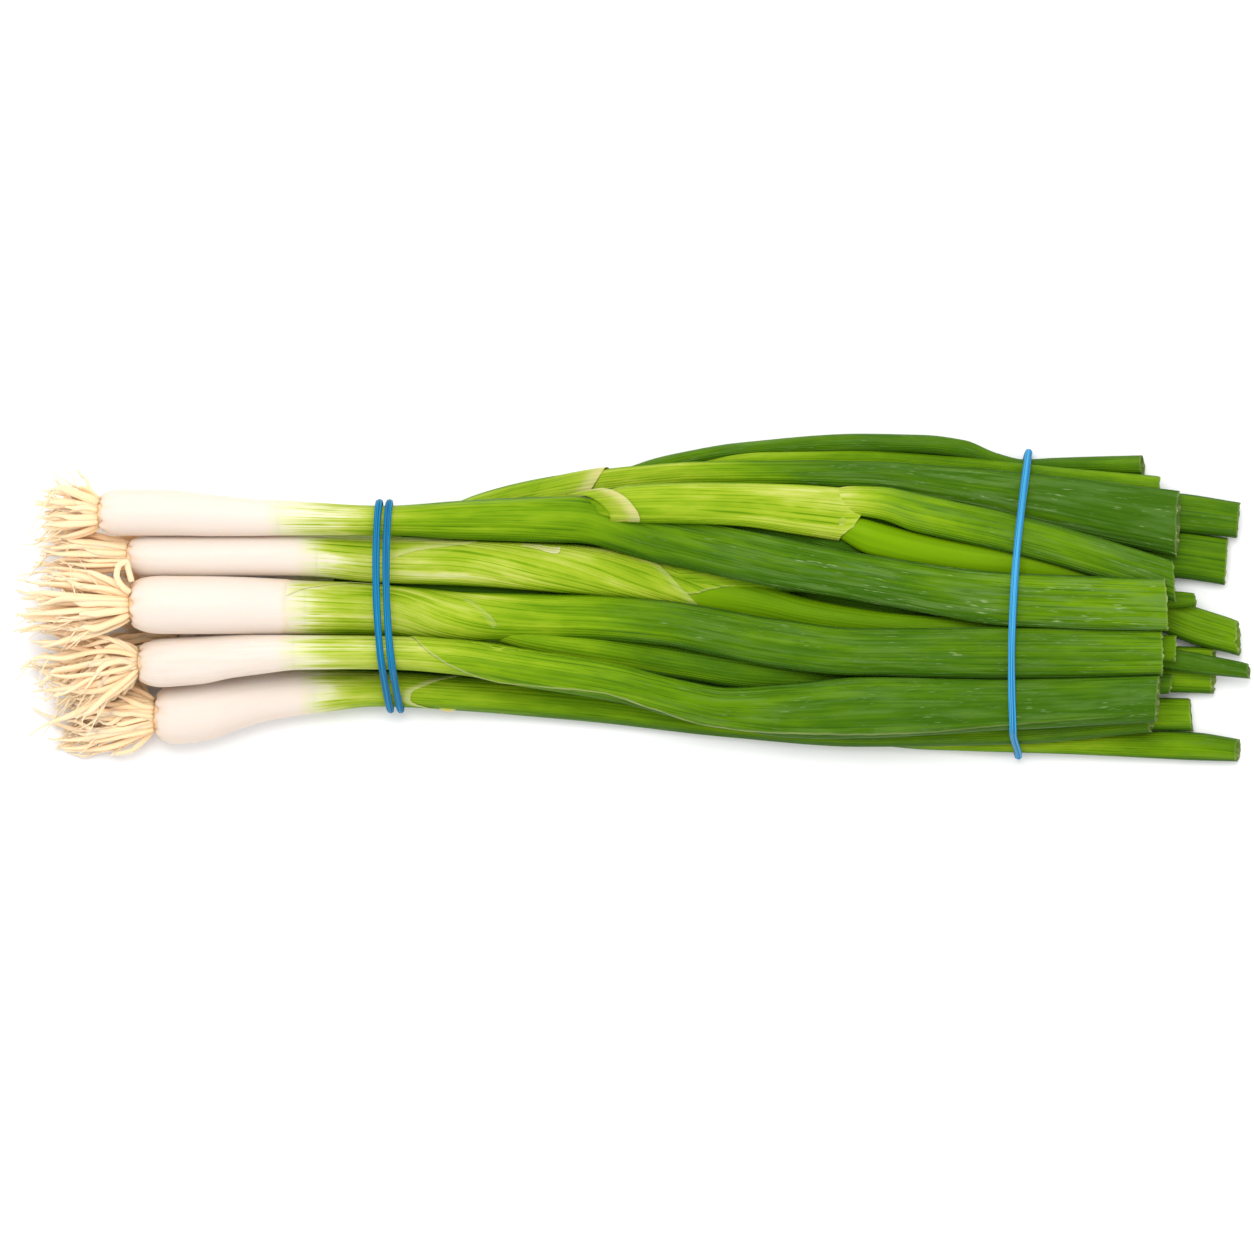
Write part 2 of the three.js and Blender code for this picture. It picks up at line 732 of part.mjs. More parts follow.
// The taut line round all strands near the stations `xs`, as points { y, z, angle } with
// the direction they face, from the direction `from` and round. They are spread along
// the line's length, and closer where it turns.
function contour(strands, xs, from, count) {
  const clearance = CORD_RADIUS + FACE_GAP;
  const touch = [];
  for (let i = 0; i <= CONTOUR_DIRECTIONS; i += 1) {
    const angle = from + (i / CONTOUR_DIRECTIONS) * 2 * Math.PI;
    const c = Math.cos(angle);
    const s = Math.sin(angle);
    let best = null;
    for (const x of xs) {
      for (const strand of strands) {
        if (x < strand.start || x > strand.end) continue;
        const a = strand.width(x);
        const b = strand.depth(x);
        const reach = Math.hypot(a * c, b * s);
        const support = strand.across(x) * c + strand.height(x) * s + reach;
        if (best && support <= best.support) continue;
        best = {
          support,
          y: strand.across(x) + (a * a * c) / reach + clearance * c,
          z: strand.height(x) + (b * b * s) / reach + clearance * s,
        };
      }
    }
    touch.push({ y: best.y, z: best.z, angle });
  }
  const lengths = [0];
  for (let i = 1; i < touch.length; i += 1) {
    const step = Math.hypot(touch[i].y - touch[i - 1].y, touch[i].z - touch[i - 1].z);
    lengths.push(lengths[i - 1] + step + CORNER_WEIGHT);
  }
  const total = lengths.at(-1);
  return Array.from({ length: count }, (_, k) => {
    const want = (k / count) * total;
    let i = 1;
    while (lengths[i] < want) i += 1;
    const t = (want - lengths[i - 1]) / Math.max(lengths[i] - lengths[i - 1], 1e-9);
    return {
      y: THREE.MathUtils.lerp(touch[i - 1].y, touch[i].y, t),
      z: THREE.MathUtils.lerp(touch[i - 1].z, touch[i].z, t),
      angle: THREE.MathUtils.lerp(touch[i - 1].angle, touch[i].angle, t),
    };
  });
}

// The contour with its underside brought down to where a band lies on the surface.
function grounded(line) {
  const low = Math.min(...line.map((p) => p.z));
  const high = Math.max(...line.map((p) => p.z));
  const target = CORD_RADIUS - CORD_FLAT;
  return line.map((p) => ({ ...p, z: high - ((high - p.z) * (high - target)) / (high - low) }));
}

// A closed round cord along points that each carry their outward direction, pressed
// flat where it would reach below the surface.
function cord(points) {
  const count = points.length;
  const rings = points.map(({ place, outward }, i) => {
    const ahead = points[(i + 1) % count].place;
    const behind = points[(i + count - 1) % count].place;
    const tangent = ahead.clone().sub(behind).normalize();
    const normal = outward.clone().addScaledVector(tangent, -outward.dot(tangent)).normalize();
    const side = tangent.clone().cross(normal);
    return Array.from({ length: CORD_SIDES }, (_, k) => {
      const turn = ((k + 0.5) / CORD_SIDES) * 2 * Math.PI;
      return place
        .clone()
        .addScaledVector(normal, CORD_RADIUS * Math.cos(turn))
        .addScaledVector(side, CORD_RADIUS * Math.sin(turn));
    });
  });
  const surface = new THREE.BoxGeometry(40, 200, 10); // wider than any band
  surface.translate(points[0].place.x, 0, -5);
  surface.deleteAttribute("normal");
  surface.deleteAttribute("uv");
  return solidOf(skin(rings, true)).subtract(solidOf(mergeVertices(surface)));
}

function bandX(band, y) {
  const aside = (y - band.y) / band.span;
  return band.x + band.lean * aside * aside;
}

function hookAt(y) {
  return HOOK_REACH * ease(-y, HOOK_START, HOOK_END);
}

// One loop of cord wound twice round the stalks. Its turns lie side by side and swap
// over low on the back, where one climbs across the other.
function leftBand(strands) {
  const xs = [-2.5, -0.5, 1.5, 3.5, 5.5].map((dx) => LEFT_BAND.x + dx);
  const line = grounded(contour(strands, xs, CROSSING_ANGLE, LEFT_BAND_POINTS));
  const stepAt = (turns, middle) => ease(turns, middle - CROSSING_HALF, middle + CROSSING_HALF);
  const points = Array.from({ length: 2 * LEFT_BAND_POINTS }, (_, k) => {
    const turns = k / LEFT_BAND_POINTS;
    const { y, z, angle } = line[k % LEFT_BAND_POINTS];
    const side = stepAt(turns, 0) - stepAt(turns, 1) + stepAt(turns, 2);
    const offset = TURN_OFFSET * (2 * side - 1);
    const away = Math.abs(turns - 1) / CROSSING_HALF;
    const lift = CROSSING_LIFT * (1 - ease(away, ...CROSSING_RAMP));
    const outward = new THREE.Vector3(0, Math.cos(angle), Math.sin(angle));
    const place = new THREE.Vector3(bandX(LEFT_BAND, y) + offset, y, z);
    return { place: place.addScaledVector(outward, lift), outward };
  });
  return cord(points);
}

function rightBand(strands) {
  const xs = [-1, 1, 3, 5, 6.5].map((dx) => RIGHT_BAND.x + dx);
  const line = grounded(contour(strands, xs, Math.PI, RIGHT_BAND_POINTS));
  return cord(
    line.map(({ y, z, angle }) => ({
      place: new THREE.Vector3(bandX(RIGHT_BAND, y) + hookAt(y), y, z),
      outward: new THREE.Vector3(0, Math.cos(angle), Math.sin(angle)),
    })),
  );
}

// ---- the bunch ----

const bunch = new THREE.Group();

function addNode(name, geometry, finish) {
  const mesh = new THREE.Mesh(geometry, new THREE.MeshStandardMaterial({ metalness: 0, ...finish }));
  mesh.name = name;
  bunch.add(mesh);
}

const strands = layAll();
const stalks = strands.filter((strand) => strand.name.startsWith("stalk"));
const bulbs = new Map(stalks.map((s) => [s.plant, solidOf(bulb(s, PLANTS[s.plant].green))]));
const tufts = [];
for (const stalk of stalks) {
  const { plant } = stalk;
  const { green } = PLANTS[plant];
  const others = stalks.filter((s) => s !== stalk).map((s) => bulbs.get(s.plant));
  const tuft = rootTuft(stalk, PLANTS[plant], [...others, ...tufts]);
  tufts.push(tuft);
  addNode("onion_" + plant + "_bulb", geometryOf(bulbs.get(plant)), WHITE);
  addNode("onion_" + plant + "_roots", geometryOf(tuft), ROOT_TAN);
  const greens = plant > 5 ? DARK_GREEN : LIGHT_GREEN;
  addNode("onion_" + plant + "_leaves", geometryOf(greenPart(strands, plant, green)), greens);
}
addNode("band_left", geometryOf(leftBand(strands)), DEEP_BLUE);
addNode("band_right", geometryOf(rightBand(strands)), SKY_BLUE);

const box = new THREE.Box3().setFromObject(bunch);
const middle = box.getCenter(new THREE.Vector3());
bunch.position.set(-middle.x, -middle.y, -box.min.z);

export default bunch;
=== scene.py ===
"""The finished surfaces of a bunch of eight trimmed spring onions, lying down in two elastic bands.

Tables are in millimetres in the bunch's own drawing, where +X runs from the roots to the cut leaf ends,
+Y is the back and +Z is up. Meshes are written in metres in the frame of the solids.
"""

import json

import bpy
import numpy as np
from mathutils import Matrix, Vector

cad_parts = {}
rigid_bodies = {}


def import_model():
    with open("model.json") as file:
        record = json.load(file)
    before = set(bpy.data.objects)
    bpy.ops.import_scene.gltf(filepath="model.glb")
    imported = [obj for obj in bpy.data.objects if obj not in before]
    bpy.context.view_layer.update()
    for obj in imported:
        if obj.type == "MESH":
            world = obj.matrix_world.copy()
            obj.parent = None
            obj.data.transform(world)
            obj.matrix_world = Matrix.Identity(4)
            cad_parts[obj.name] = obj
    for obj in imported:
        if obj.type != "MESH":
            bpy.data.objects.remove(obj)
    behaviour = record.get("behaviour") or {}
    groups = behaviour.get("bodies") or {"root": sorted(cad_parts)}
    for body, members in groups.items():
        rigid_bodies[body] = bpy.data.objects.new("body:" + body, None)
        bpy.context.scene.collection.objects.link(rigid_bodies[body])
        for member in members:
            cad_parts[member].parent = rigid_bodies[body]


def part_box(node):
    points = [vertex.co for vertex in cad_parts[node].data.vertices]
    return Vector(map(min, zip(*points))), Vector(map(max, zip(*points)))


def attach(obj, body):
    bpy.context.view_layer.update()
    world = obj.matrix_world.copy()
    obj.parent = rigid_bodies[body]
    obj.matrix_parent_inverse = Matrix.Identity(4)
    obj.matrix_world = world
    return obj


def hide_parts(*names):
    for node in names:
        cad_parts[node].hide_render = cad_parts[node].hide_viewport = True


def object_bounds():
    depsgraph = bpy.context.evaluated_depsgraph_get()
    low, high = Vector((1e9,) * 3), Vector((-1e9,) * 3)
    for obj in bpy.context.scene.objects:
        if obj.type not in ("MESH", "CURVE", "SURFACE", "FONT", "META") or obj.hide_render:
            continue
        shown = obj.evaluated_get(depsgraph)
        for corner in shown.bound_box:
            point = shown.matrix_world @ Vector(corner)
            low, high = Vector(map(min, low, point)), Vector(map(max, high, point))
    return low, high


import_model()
SOLID_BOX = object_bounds()

MM = 0.001

# ---- driving dimensions, in millimetres ----

PLANT_GAP = 0.5  # clear space that one plant keeps from the next
FACE_GAP = 0.3  # clear space between the pieces of one plant
FLOOR_CLEARANCE = 0.3  # the lowest leaves hang this far above the surface
CORD_RADIUS = 1.05
CORD_FLAT = 0.25  # what the bunch's weight presses off the underside of a band
TURN_OFFSET = 1.35  # each turn of the left band from the middle of the pair
CROSSING_ANGLE = -0.9  # the turns cross facing this way: low on the back
CROSSING_LIFT = 2.45  # one turn passes this far outside the other there
CROSSING_HALF = 0.06  # the turns swap sides within this part of a turn either way
CROSSING_RAMP = (0.7, 1.7)  # where the climb ends and begins, in those halves
ROOT_END_ROUND = 5  # a bulb rounds off over this length to its root end,
ROOT_END_SHARE = 0.7  # which is this share of the bulb's width
PLATE_SHARE = 0.95  # and the basal plate is this share of the root end's
PLATE_DEPTH = 2.2
SWELL_LENGTH = 18  # a leaf widens over this length as it comes out of its sheath,
SWELL_SHARE = 0.45  # from this share of its width
CUT_DEPTH = 7  # how deep a cut end is open

# Where each elastic band runs: nearest the roots at (x, y), and lean further along at a distance span to
# either side.
LEFT_BAND = dict(x=-65.05, y=8, lean=3.15, span=37.5)
RIGHT_BAND = dict(x=101.6, y=-18, lean=5.2, span=56)
HOOK_REACH = 1.8  # the right band's front end bends along by this much
HOOK_START, HOOK_END = 35.5, 42.5  # and does so between these distances in front of the middle

# Each strand: its plant, what it grows out of, the strands of its own plant that it lies upon, and a route
# of [x, y, half width across, half depth]. They are in the order in which they are laid.
STRANDS = {
    "stalk_7": (7, None, (), [
        [-122.6, 4.1, 5.3, 5.3], [-113, 4.1, 5.6, 5.6], [-102, 3.9, 5.0, 5.0], [-86, 3.6, 4.2, 4.2],
        [-63, 3.6, 4.1, 3.9], [-47, 6.2, 4.1, 3.5], [-28, 10.0, 4.2, 3.1], [-7, 13.2, 4.5, 2.7],
        [19, 13.9, 4.8, 2.4], [72, 14.2, 5.6, 2.3], [104, 13.9, 5.8, 2.3], [146, 11.8, 6.1, 2.4],
        [160.3, 9.9, 6.2, 2.4]]),
    "stalk_8": (8, None, (), [
        [-119, -10.2, 5.3, 5.3], [-110, -10.2, 5.6, 5.6], [-100, -9.9, 5.0, 5.0], [-86, -9.9, 4.2, 4.2],
        [-63, -9.7, 4.1, 3.9], [-47, -9.4, 4.2, 3.5], [-20, -10.7, 4.5, 3.0], [6, -13.6, 4.8, 2.6],
        [25, -15.2, 5.0, 2.4], [59, -16.6, 5.3, 2.3], [104, -17.6, 5.8, 2.3], [157, -19.2, 6.1, 2.4]]),
    "stalk_6": (6, None, (), [
        [-122.6, 15.5, 5.3, 5.3], [-113, 15.5, 5.6, 5.6], [-102, 15.5, 5.0, 5.0], [-86, 15.8, 4.2, 4.2],
        [-58, 16.0, 4.1, 3.8], [-49, 19.6, 4.3, 3.5], [-40, 23.4, 4.3, 3.2], [-26, 27.2, 4.2, 3.0],
        [-7, 30.4, 4.0, 2.8], [17, 32.4, 3.9, 2.6], [35, 31.4, 4.0, 2.3], [62, 28.8, 4.5, 2.2],
        [104, 25.6, 4.8, 2.2], [146, 23.1, 5.0, 2.3], [163.5, 20.9, 4.6, 2.3]]),
    "leaf_7_front": (7, "stalk_7", (), [
        [9, 12.3, 4.0, 2.2], [25, 8.6, 4.5, 2.2], [46, 4.4, 5.0, 2.2], [72, 2.3, 5.3, 2.2],
        [104, 1.7, 5.3, 2.2], [130, 0.1, 5.2, 2.2], [152, -7.3, 5.0, 2.2], [163.5, -10.6, 4.6, 2.2]]),
    "leaf_7_thin": (7, "stalk_7", (), [
        [9, 12.3, 2.4, 1.8], [25, 4.9, 2.7, 1.8], [40, -2.0, 2.9, 1.8], [59, -7.0, 2.9, 1.8],
        [104, -9.6, 3.0, 1.8], [147, -16.5, 2.8, 1.8], [166, -19.3, 2.0, 1.7]]),
    "leaf_8_front": (8, "stalk_8", (), [
        [9, -15.5, 3.2, 2.2], [27, -22.0, 3.6, 2.2], [50, -28.0, 4.3, 2.2], [104, -30.1, 4.2, 2.2],
        [151, -31.1, 4.2, 2.2]]),
    "leaf_6_strip": (6, "stalk_6", ("stalk_6",), [
        [9, 34.0, 2.0, 2.0], [29, 36.6, 2.2, 2.0], [62, 37.2, 2.2, 2.0], [90, 35.4, 2.3, 2.0],
        [117, 32.4, 2.4, 2.0], [142, 30.0, 2.5, 2.0]]),
    "leaf_6_broad": (6, "stalk_6", ("stalk_6", "leaf_6_strip"), [
        [0, 31.6, 3.4, 2.4], [17, 33.0, 3.4, 2.4], [35, 33.2, 3.4, 2.4], [62, 32.7, 3.9, 2.3],
        [90, 29.5, 5.3, 2.3], [104, 27.2, 6.4, 2.3], [117, 25.0, 7.2, 2.4], [147, 19.9, 8.7, 2.5]]),
    "leaf_6_back": (6, "stalk_6", (), [
        [-9, 31.0, 2.0, 2.0], [13, 36.7, 2.0, 2.0], [29, 39.4, 2.1, 2.0], [62, 41.5, 2.5, 2.1],
        [79, 41.2, 2.5, 2.1], [90, 39.9, 2.4, 2.0], [99, 37.0, 1.7, 1.8], [106, 35.5, 1.7, 1.7],
        [115, 35.6, 2.0, 2.0], [138, 35.6, 2.7, 2.2]]),
    "stalk_5": (5, None, (), [
        [-125.2, -31.1, 7.0, 7.0], [-121, -31.0, 7.6, 7.6], [-112, -29.6, 8.0, 7.9],
        [-103, -27.2, 7.3, 7.2], [-95, -25.6, 6.6, 6.5], [-83, -24.6, 5.8, 5.7], [-67, -24.0, 4.6, 4.5],
        [-41, -25.5, 4.5, 3.9], [-10, -28.0, 4.7, 3.3], [27, -32.7, 4.1, 2.8], [62, -35.6, 3.7, 2.4],
        [101, -35.1, 3.6, 2.2], [140, -32.2, 3.2, 2.0]]),
    "leaf_5_front": (5, "stalk_5", (), [
        [33, -34.0, 2.2, 2.0], [62, -36.4, 2.2, 2.0], [82, -37.8, 2.5, 2.0], [115, -38.6, 2.7, 2.0],
        [151, -39.4, 3.6, 2.2], [163.5, -40.5, 2.9, 2.0]]),
    "stalk_2": (2, None, (), [
        [-131.6, 11.3, 5.2, 5.2], [-124, 11.2, 5.5, 5.5], [-113, 11.2, 5.5, 5.5], [-100, 11.4, 5.5, 5.5],
        [-87, 11.6, 5.6, 5.4], [-64, 10.2, 6.1, 4.3], [-41, 9.4, 6.1, 4.2], [-15, 7.8, 6.5, 3.6],
        [3, 5.6, 6.5, 3.2], [20, 2.2, 5.8, 2.9], [36, -1.0, 4.9, 2.7], [46, -3.6, 4.2, 2.5],
        [59, -5.8, 3.6, 2.3], [72, -7.2, 3.2, 2.1], [90, -8.6, 3.2, 2.0], [125, -12.0, 3.4, 1.8],
        [146, -13.4, 3.4, 1.8]]),
    "leaf_2_back": (2, "stalk_2", (), [
        [4, 6.2, 5.0, 2.8], [20, 6.5, 5.4, 2.4], [36, 6.4, 4.6, 2.1], [60, 5.0, 4.0, 1.8],
        [104, 1.0, 4.2, 1.8], [130, -0.2, 3.4, 1.8], [151, -0.4, 1.8, 1.6]]),
    "stalk_3": (3, None, (), [
        [-130.8, -1.6, 6.8, 6.8], [-122, -1.7, 7.4, 7.4], [-108, -1.8, 7.3, 7.3], [-87, -2.4, 7.1, 7.0],
        [-64, -3.3, 6.7, 5.4], [-41, -5.0, 6.5, 4.8], [-15, -4.9, 5.7, 3.9], [9, -6.4, 5.8, 3.2],
        [22, -8.6, 6.1, 3.0], [38, -11.6, 6.3, 2.8], [62, -14.2, 6.2, 2.7], [104, -14.4, 6.8, 2.6],
        [142, -14.4, 6.0, 2.6]]),
    "leaf_3_front": (3, "stalk_3", (), [
        [-36, -9.0, 3.0, 3.0], [-18, -12.1, 3.7, 2.8], [-7, -13.6, 4.2, 2.6], [17, -17.4, 4.2, 2.4],
        [29, -19.2, 4.4, 2.2], [49, -21.1, 3.2, 2.0], [62, -21.9, 2.7, 1.8], [99, -22.7, 2.7, 1.8],
        [145, -22.7, 2.5, 1.7]]),
    "stalk_4": (4, None, (), [
        [-128.9, -16.9, 5.5, 5.5], [-122, -16.6, 6.0, 6.0], [-108, -15.6, 5.8, 5.8], [-97, -14.8, 5.1, 5.1],
        [-87, -14.3, 4.5, 4.7], [-64, -14.4, 4.3, 4.2], [-45, -15.6, 4.6, 4.0], [-26, -18.6, 5.0, 3.6],
        [-3, -22.4, 5.0, 3.4], [14, -26.8, 5.2, 3.2], [26, -29.2, 5.4, 3.1], [42, -29.8, 7.0, 3.0],
        [62, -29.0, 8.0, 2.9], [100, -28.2, 6.6, 2.7], [141, -26.6, 6.0, 2.6]]),
    "stalk_1": (1, None, (), [
        [-139, 22.7, 5.8, 5.8], [-133, 22.7, 6.0, 6.0], [-122, 22.6, 5.9, 5.9], [-108, 21.8, 5.2, 5.2],
        [-92, 21.2, 4.5, 4.5], [-64, 20.6, 3.8, 3.9], [-41, 20.8, 5.1, 4.2], [-15, 21.0, 6.0, 3.6],
        [8, 16.2, 6.4, 3.0], [31, 11.4, 6.8, 2.8], [62, 5.6, 6.2, 2.7], [102, -0.3, 6.8, 2.6],
        [143, -1.7, 6.7, 2.6]]),
    "sheath_1": (1, "stalk_1", ("stalk_1",), [
        [-22, 23.0, 3.6, 3.0], [-7, 24.8, 4.5, 2.9], [13, 25.3, 5.3, 2.7], [29, 25.0, 5.6, 2.6],
        [45, 23.7, 6.5, 2.6], [57, 22.4, 7.1, 2.6]]),
    "leaf_1_middle": (1, "sheath_1", (), [
        [45, 22.0, 3.6, 1.8], [56, 19.0, 4.0, 2.1], [65, 16.0, 4.5, 2.3], [90, 10.5, 4.5, 2.3],
        [104, 8.9, 4.1, 2.2], [125, 5.7, 3.2, 2.0], [134, 4.6, 2.7, 1.9]]),
    "leaf_1_back": (1, "sheath_1", ("leaf_1_middle",), [
        [42, 25.6, 3.2, 1.8], [56, 26.2, 3.6, 2.1], [67, 25.4, 4.2, 2.3], [76, 23.0, 5.0, 2.3],
        [86, 20.8, 5.1, 2.3], [104, 16.8, 5.2, 2.3], [145.5, 4.5, 5.3, 2.4]]),
}
# Where along each plant its white piece ends and its green one begins
GREEN_X = {1: -92, 2: -82, 3: -85, 4: -88, 5: -83, 6: -88, 7: -86, 8: -86}

# ---- what each strand looks like ----
# What changes along a strand is a list of [x, value], and what is the same all along is a plain number.
# tone: from 0, ivory, through 0.3, yellow green, and 0.5, grass green, to 0.9, deep green. bloom: amount of
# pale waxy coat. ridge: height of the ribs that run along it. young: smooth and bright. twist: the angle
# that its fibres have turned by. swell: where a leaf widens as it comes out of its sheath. neck: how far
# inside the sheath it begins. dive: depth, and where along x it rises from there to its own height. mouth:
# [angle, x], how far beyond its end a sheath reaches in each direction round it, and sink: what share of
# its size the furthest reach loses. skin: [angle, x] where a bulb's outer skin ends. toward: the side on
# which a bulb presses against the next.
LOOKS = {
    "stalk_1": dict(
        tone=[[-96, 0], [-90, 0.08], [-76, 0.2], [-64, 0.34], [-54, 0.45], [-20, 0.57], [-6, 0.65],
              [6, 0.75], [30, 0.81], [60, 0.85], [85, 0.79], [110, 0.69], [143, 0.62]],
        bloom=[[-10, 0], [25, 0.35], [60, 0.85], [143, 0.85]], ridge=0.3,
        twist=[[-60, 0], [-35, 0], [10, 0.35], [40, 0.5]]),
    "sheath_1": dict(
        tone=[[-22, 0.5], [-9, 0.5], [-3, 0.38], [30, 0.34], [44, 0.31], [54, 0.27], [63, 0.27]],
        bloom=[[-22, 0], [57, 0.05]], ridge=0.07, swell=(-13, 0), dive=(3, -16, 2), sink=0.3,
        mouth=[[0, 6], [1.3, 6], [1.9, 3.4], [2.45, 0], [3.2, -1], [4.9, -1], [6.29, 6]]),
    "leaf_1_middle": dict(
        tone=[[45, 0.5], [134, 0.52]], bloom=0, ridge=0.03, young=1, swell=(50, 64), dive=(2.2, 50, 66)),
    "leaf_1_back": dict(
        tone=[[42, 0.25], [57, 0.26], [63, 0.36], [72, 0.52], [84, 0.6], [100, 0.73], [144, 0.77]],
        bloom=[[42, 0], [80, 0.3], [144, 0.5]], ridge=0.1, swell=(46, 60), dive=(2.8, 50, 72)),
    "stalk_2": dict(
        tone=[[-88, 0], [-82, 0.1], [-73, 0.26], [-55, 0.29], [-20, 0.32], [6, 0.35], [14, 0.36],
              [22, 0.54], [26, 0.68], [60, 0.74], [146, 0.76]], bloom=0, ridge=0.09,
        young=[[16, 0], [19, 0.85], [40, 0.5], [146, 0.4]],
        twist=[[-75, 0], [-48, 0], [-22, 0.55], [3, 1.3], [20, 1.8]]),
    "leaf_2_back": dict(
        tone=[[4, 0.38], [28, 0.46], [44, 0.66], [153, 0.74]], bloom=[[4, 0], [153, 0.2]], ridge=0.08),
    "stalk_3": dict(
        tone=[[-92, 0], [-86, 0.1], [-74, 0.3], [-60, 0.31], [-42, 0.34], [-30, 0.44], [-15, 0.52],
              [8, 0.72], [26, 0.83], [55, 0.81], [85, 0.82], [142, 0.7]],
        bloom=[[-10, 0], [25, 0.45], [142, 0.4]], ridge=0.13,
        skin=[[0, -89.6], [0.64, -90.3], [1.53, -90.6], [2.22, -90.2], [3.14, -91.6], [6.29, -89.6]],
        twist=[[-80, 0], [-64, 0], [-48, 0.6], [-34, 1.05], [-18, 1.25], [10, 1.3]]),
    "leaf_3_front": dict(
        tone=[[-36, 0.45], [-20, 0.52], [-5, 0.61], [30, 0.8], [145, 0.8]], bloom=[[-36, 0], [145, 0.2]],
        ridge=0.06, swell=(-44, -24)),
    "stalk_4": dict(
        tone=[[-93, 0], [-86, 0.1], [-74, 0.25], [-50, 0.3], [-30, 0.36], [-14, 0.51], [10, 0.69],
              [50, 0.8], [141, 0.88]], bloom=[[0, 0.1], [30, 0.4], [141, 0.45]], ridge=0.14, toward=3.14),
    "stalk_5": dict(
        tone=[[-88, 0], [-82, 0.1], [-72, 0.3], [-60, 0.36], [-52, 0.44], [-36, 0.53], [-14, 0.61],
              [62, 0.72], [140, 0.72]], bloom=[[20, 0], [60, 0.3], [140, 0.3]], ridge=0.1, toward=0),
    "leaf_5_front": dict(
        tone=[[33, 0.56], [70, 0.46], [115, 0.5], [140, 0.6], [162, 0.7]], bloom=[[33, 0], [162, 0.15]],
        ridge=0.08),
    "stalk_6": dict(
        tone=[[-92, 0], [-80, 0.15], [-62, 0.3], [-40, 0.45], [-24, 0.44], [-10, 0.38], [30, 0.44],
              [70, 0.72], [162, 0.79]], bloom=[[50, 0], [100, 0.3], [162, 0.2]], ridge=0.1),
    "leaf_6_broad": dict(
        tone=[[0, 0.36], [18, 0.42], [34, 0.6], [52, 0.85], [90, 0.86], [125, 0.98], [145, 1]],
        bloom=[[30, 0], [60, 0.5], [100, 0.7], [125, 0.45], [145, 0.45]], ridge=0.22, swell=(-20, -10),
        neck=20, dive=(5, -18, 4)),
    "leaf_6_strip": dict(
        tone=[[9, 0.4], [30, 0.42], [60, 0.6], [90, 0.68], [142, 0.6]], bloom=[[60, 0], [142, 0.2]],
        ridge=0.08, swell=(20, 36), dive=(1.8, 16, 30)),
    "leaf_6_back": dict(
        tone=[[-9, 0.6], [13, 0.72], [40, 0.76], [70, 0.82], [138, 0.78]],
        bloom=[[0, 0.2], [40, 0.45], [70, 0.3], [100, 0.15], [138, 0.15]], ridge=0.1),
    "stalk_7": dict(
        tone=[[-92, 0], [-80, 0.15], [-62, 0.32], [-30, 0.5], [20, 0.7], [159, 0.74]],
        bloom=[[0, 0], [159, 0.1]], ridge=0.08),
    "leaf_7_front": dict(tone=[[9, 0.6], [60, 0.66], [162, 0.6]], bloom=[[9, 0], [162, 0.2]], ridge=0.08),
    "leaf_7_thin": dict(tone=[[9, 0.6], [60, 0.8], [165, 0.86]], bloom=[[9, 0], [165, 0.4]], ridge=0.08),
    "stalk_8": dict(
        tone=[[-92, 0], [-80, 0.15], [-62, 0.32], [-30, 0.5], [60, 0.6], [157, 0.58]],
        bloom=[[0, 0], [157, 0.1]], ridge=0.08),
    "leaf_8_front": dict(tone=[[9, 0.55], [151, 0.62]], bloom=[[9, 0], [151, 0.1]], ridge=0.08),
}

